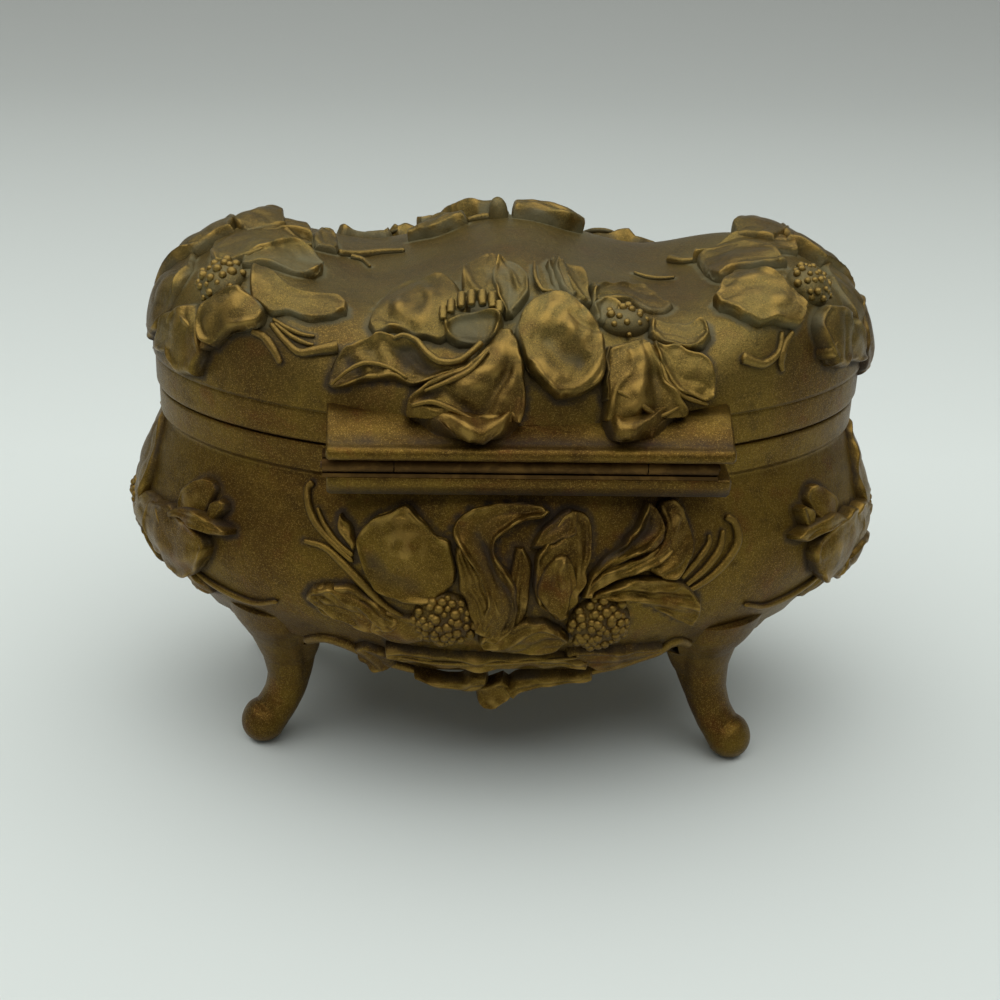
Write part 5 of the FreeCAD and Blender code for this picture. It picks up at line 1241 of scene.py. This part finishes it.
def softBand(table, thick, sides=360, folds=0, depth=0.0):
    # Even band along ovals, its inner face drawn into upright folds.
    turn = np.linspace(0, 2 * math.pi, sides, endpoint=False)
    outer = ovals(alongCurve(table, 30), turn)
    radial = outer * [1, 1, 0] / np.linalg.norm(outer * [1, 1, 0], axis=-1, keepdims=True)
    gather = depth * (np.cos(folds * turn) + 0.4 * np.cos(2.3 * folds * turn + 1))[None, :, None]
    ends = np.sin(np.linspace(0, math.pi, 30))[:, None, None] ** 0.5
    inner = outer - radial * (thick - np.abs(depth) + gather * ends)
    rows = np.concatenate([outer, inner[::-1]])
    rows = np.concatenate([rows, rows[:1]])
    count = len(rows) - 1
    row, column = np.meshgrid(np.arange(count), np.arange(sides), indexing="ij")
    after, above = (column + 1) % sides, (row + 1) % count
    faces = np.stack([row * sides + column, row * sides + after, above * sides + after,
                      above * sides + column], -1).reshape(-1, 4)
    return outward(dict(places=rows[:-1].reshape(-1, 3), faces=[faces]))


def cushion(table, sides=180):
    turn = np.linspace(0, 2 * math.pi, sides, endpoint=False)
    rows = ovals(alongCurve(table, 40), turn)
    return lathe(rows, rows[0].mean(0), rows[-1].mean(0))


def plump(piece, cap=1.6, voxel=2.6, larger=8.0, pressure=4.0):
    # Swells a pad as cloth at a larger size, where the simulation is steady. No point moves
    # further than the cap.
    scene, mesh = bpy.context.scene, piece.data
    mesh.transform(Matrix.Scale(larger, 4))
    remesh = piece.modifiers.new("remesh", "REMESH")
    remesh.mode, remesh.voxel_size = "VOXEL", voxel * larger * millimetre
    with bpy.context.temp_override(object=piece, active_object=piece):
        bpy.ops.object.modifier_apply(modifier="remesh")
    mesh = piece.data
    start = np.empty(3 * len(mesh.vertices), np.float32)
    mesh.vertices.foreach_get("co", start)
    cloth = piece.modifiers.new("cloth", "CLOTH")
    cloth.settings.use_pressure = True
    cloth.settings.uniform_pressure_force = pressure
    cloth.settings.effector_weights.gravity = 0
    for frameNumber in range(1, 21):
        scene.frame_set(frameNumber)
    settled = np.empty_like(start)
    piece.evaluated_get(bpy.context.evaluated_depsgraph_get()).data.vertices.foreach_get(
        "co", settled)
    piece.modifiers.remove(cloth)
    scene.frame_set(1)
    move = (settled - start).reshape(-1, 3)
    length = np.linalg.norm(move, axis=1, keepdims=True)
    print(piece.name, "swelled by up to %.1f mm" % (length.max() / larger / millimetre))
    move *= np.minimum(1, cap * larger * millimetre / np.maximum(length, 1e-9))
    mesh.vertices.foreach_set("co", ((start.reshape(-1, 3) + move) / larger).ravel())
    mesh.polygons.foreach_set("use_smooth", np.ones(len(mesh.polygons), bool))
    mesh.update()
    finer = piece.modifiers.new("finer", "SUBSURF")
    finer.levels = finer.render_levels = 1


floorPad = cushion([(25.85, 40, 24), (25.9, 51.0, 30.7), (28.0, 53.6, 32.6), (30.2, 51.8, 31.6),
                    (31.6, 40, 23), (32.0, 20, 10), (32.0, 2, 1)])
lidPad = cushion([(86.2, 25, 14), (86.2, 29.6, 16.2), (84.2, 46, 26), (82.4, 53.6, 29.8),
                  (80.6, 51, 28.6), (79.3, 34, 19), (79.1, 2, 1)])
wallBand = softBand([(26.5, 52.4, 31.6), (28.2, 56.0, 34.0), (31.0, 60.2, 36.5), (43.0, 67.4, 40.8),
                     (55.75, 65.2, 37.9), (66.1, 62.7, 34.7)], 1.0, folds=90, depth=0.22)
lidBand = softBand([(71.4, 62.7, 34.7), (76.5, 62.7, 34.7), (81.0, 59.1, 32.7),
                    (83.0, 54.1, 29.9), (84.8, 48.6, 26.8)], 1.0,
                   folds=90, depth=0.22)
for name, part, body, node in (("floor_cushion", floorPad, "base", "floor_pad"),
                               ("lid_cushion", lidPad, "lid", "lid_pad"),
                               ("wall_silk", wallBand, "base", "wall_lining"),
                               ("lid_silk", lidBand, "lid", "lid_lining")):
    piece = makePiece(name, part, body, silk, [node])
    if "cushion" in name:
        plump(piece)


def twistedRing(long, wide, height, radius=0.7, turns=110, strands=2, sides=8, count=1400):
    # Strands wound round an oval.
    turn = np.linspace(0, 2 * math.pi, count, endpoint=False)
    made = []
    for strand in range(strands):
        phase = turns * turn + 2 * math.pi * strand / strands
        out = 0.42 * radius * np.cos(phase)
        rise = 0.42 * radius * np.sin(phase)
        middle = np.stack([(long + out) * np.cos(turn), (wide + out) * np.sin(turn),
                           height + rise], -1)
        course = np.roll(middle, -1, 0) - np.roll(middle, 1, 0)
        course /= np.linalg.norm(course, axis=1, keepdims=True)
        side = np.cross(course, [0, 0, 1.0])
        side /= np.linalg.norm(side, axis=1, keepdims=True)
        rise = np.cross(side, course)
        ring = np.linspace(0, 2 * math.pi, sides, endpoint=False)
        rows = middle[:, None] + 0.55 * radius * (
            np.cos(ring)[None, :, None] * side[:, None]
            + np.sin(ring)[None, :, None] * rise[:, None])
        row, column = np.meshgrid(np.arange(count), np.arange(sides), indexing="ij")
        after, above = (column + 1) % sides, (row + 1) % count
        faces = np.stack([row * sides + column, row * sides + after, above * sides + after,
                          above * sides + column], -1).reshape(-1, 4)
        made.append(outward(dict(places=rows.reshape(-1, 3), faces=[faces])))
    return joinParts(made)


makePiece("body_cord_trim", twistedRing(61.9, 33.9, 66.9), "base", silk,
          ["body_trim"])
makePiece("lid_cord_trim", twistedRing(61.9, 33.9, 70.6), "lid", silk,
          ["lid_trim"])
print("lining made")

stageValues = dict(floor=(218, 225, 220), far=(156, 159, 155), start=-120.0, end=-640.0)


def makeStage(values):
    # A pale floor that rises into a backdrop behind the casket, as seen from the camera. Its colour
    # darkens towards the back as painted fall-off of light.
    finish = Finish("paleSweep")
    spot = finish.place()
    behind = finish.node("ShaderNodeSeparateXYZ", {}, spot, out=1)
    paintedLightFalloff = finish.node("ShaderNodeMapRange", {}, behind, values["start"], values["end"])
    shade = finish.blend(paintedLightFalloff, linear(*values["floor"]), linear(*values["far"]))
    finish.feed(Base_Color=shade, Roughness=0.9, Specular_IOR_Level=0.15)
    turn = np.linspace(0, math.pi / 2, 24)
    course = np.concatenate([[(3000, 0)], np.column_stack([-500 - 350 * np.sin(turn),
                                                          350 - 350 * np.cos(turn)]),
                             [(-850, 1600)]])
    across = np.array([-3000, 3000])
    places = np.stack([np.stack([np.full(len(course), x), course[:, 0], course[:, 1]], -1)
                       for x in across], 1).reshape(-1, 3)
    floor = makePiece("floor_sweep", dict(places=places, faces=[gridFaces(len(course), 2)]),
                      "base", finish.material)
    floor.parent = None


def makeLamp(name, place, aim, size, power):
    lamp = bpy.data.lights.new(name, "AREA")
    lamp.shape = "DISK"
    lamp.size = size
    lamp.energy = power
    holder = bpy.data.objects.new(name, lamp)
    bpy.context.scene.collection.objects.link(holder)
    holder.location = place
    ray = np.array(aim) - np.array(place)
    from mathutils import Vector
    holder.rotation_euler = Vector(ray).to_track_quat("-Z", "Y").to_euler()


makeStage(stageValues)
makeLamp("softTop", (0.06, -0.10, 1.1), (0, -0.05, 0.0), 2.6, 26.0)
world = bpy.data.worlds.new("room")
world.use_nodes = True
world.node_tree.nodes["Background"].inputs["Color"].default_value = (0.94, 0.97, 1.0, 1)
world.node_tree.nodes["Background"].inputs["Strength"].default_value = 0.20
bpy.context.scene.world = world
bpy.context.scene.view_settings.view_transform = "Standard"
print("stage and lamps made")
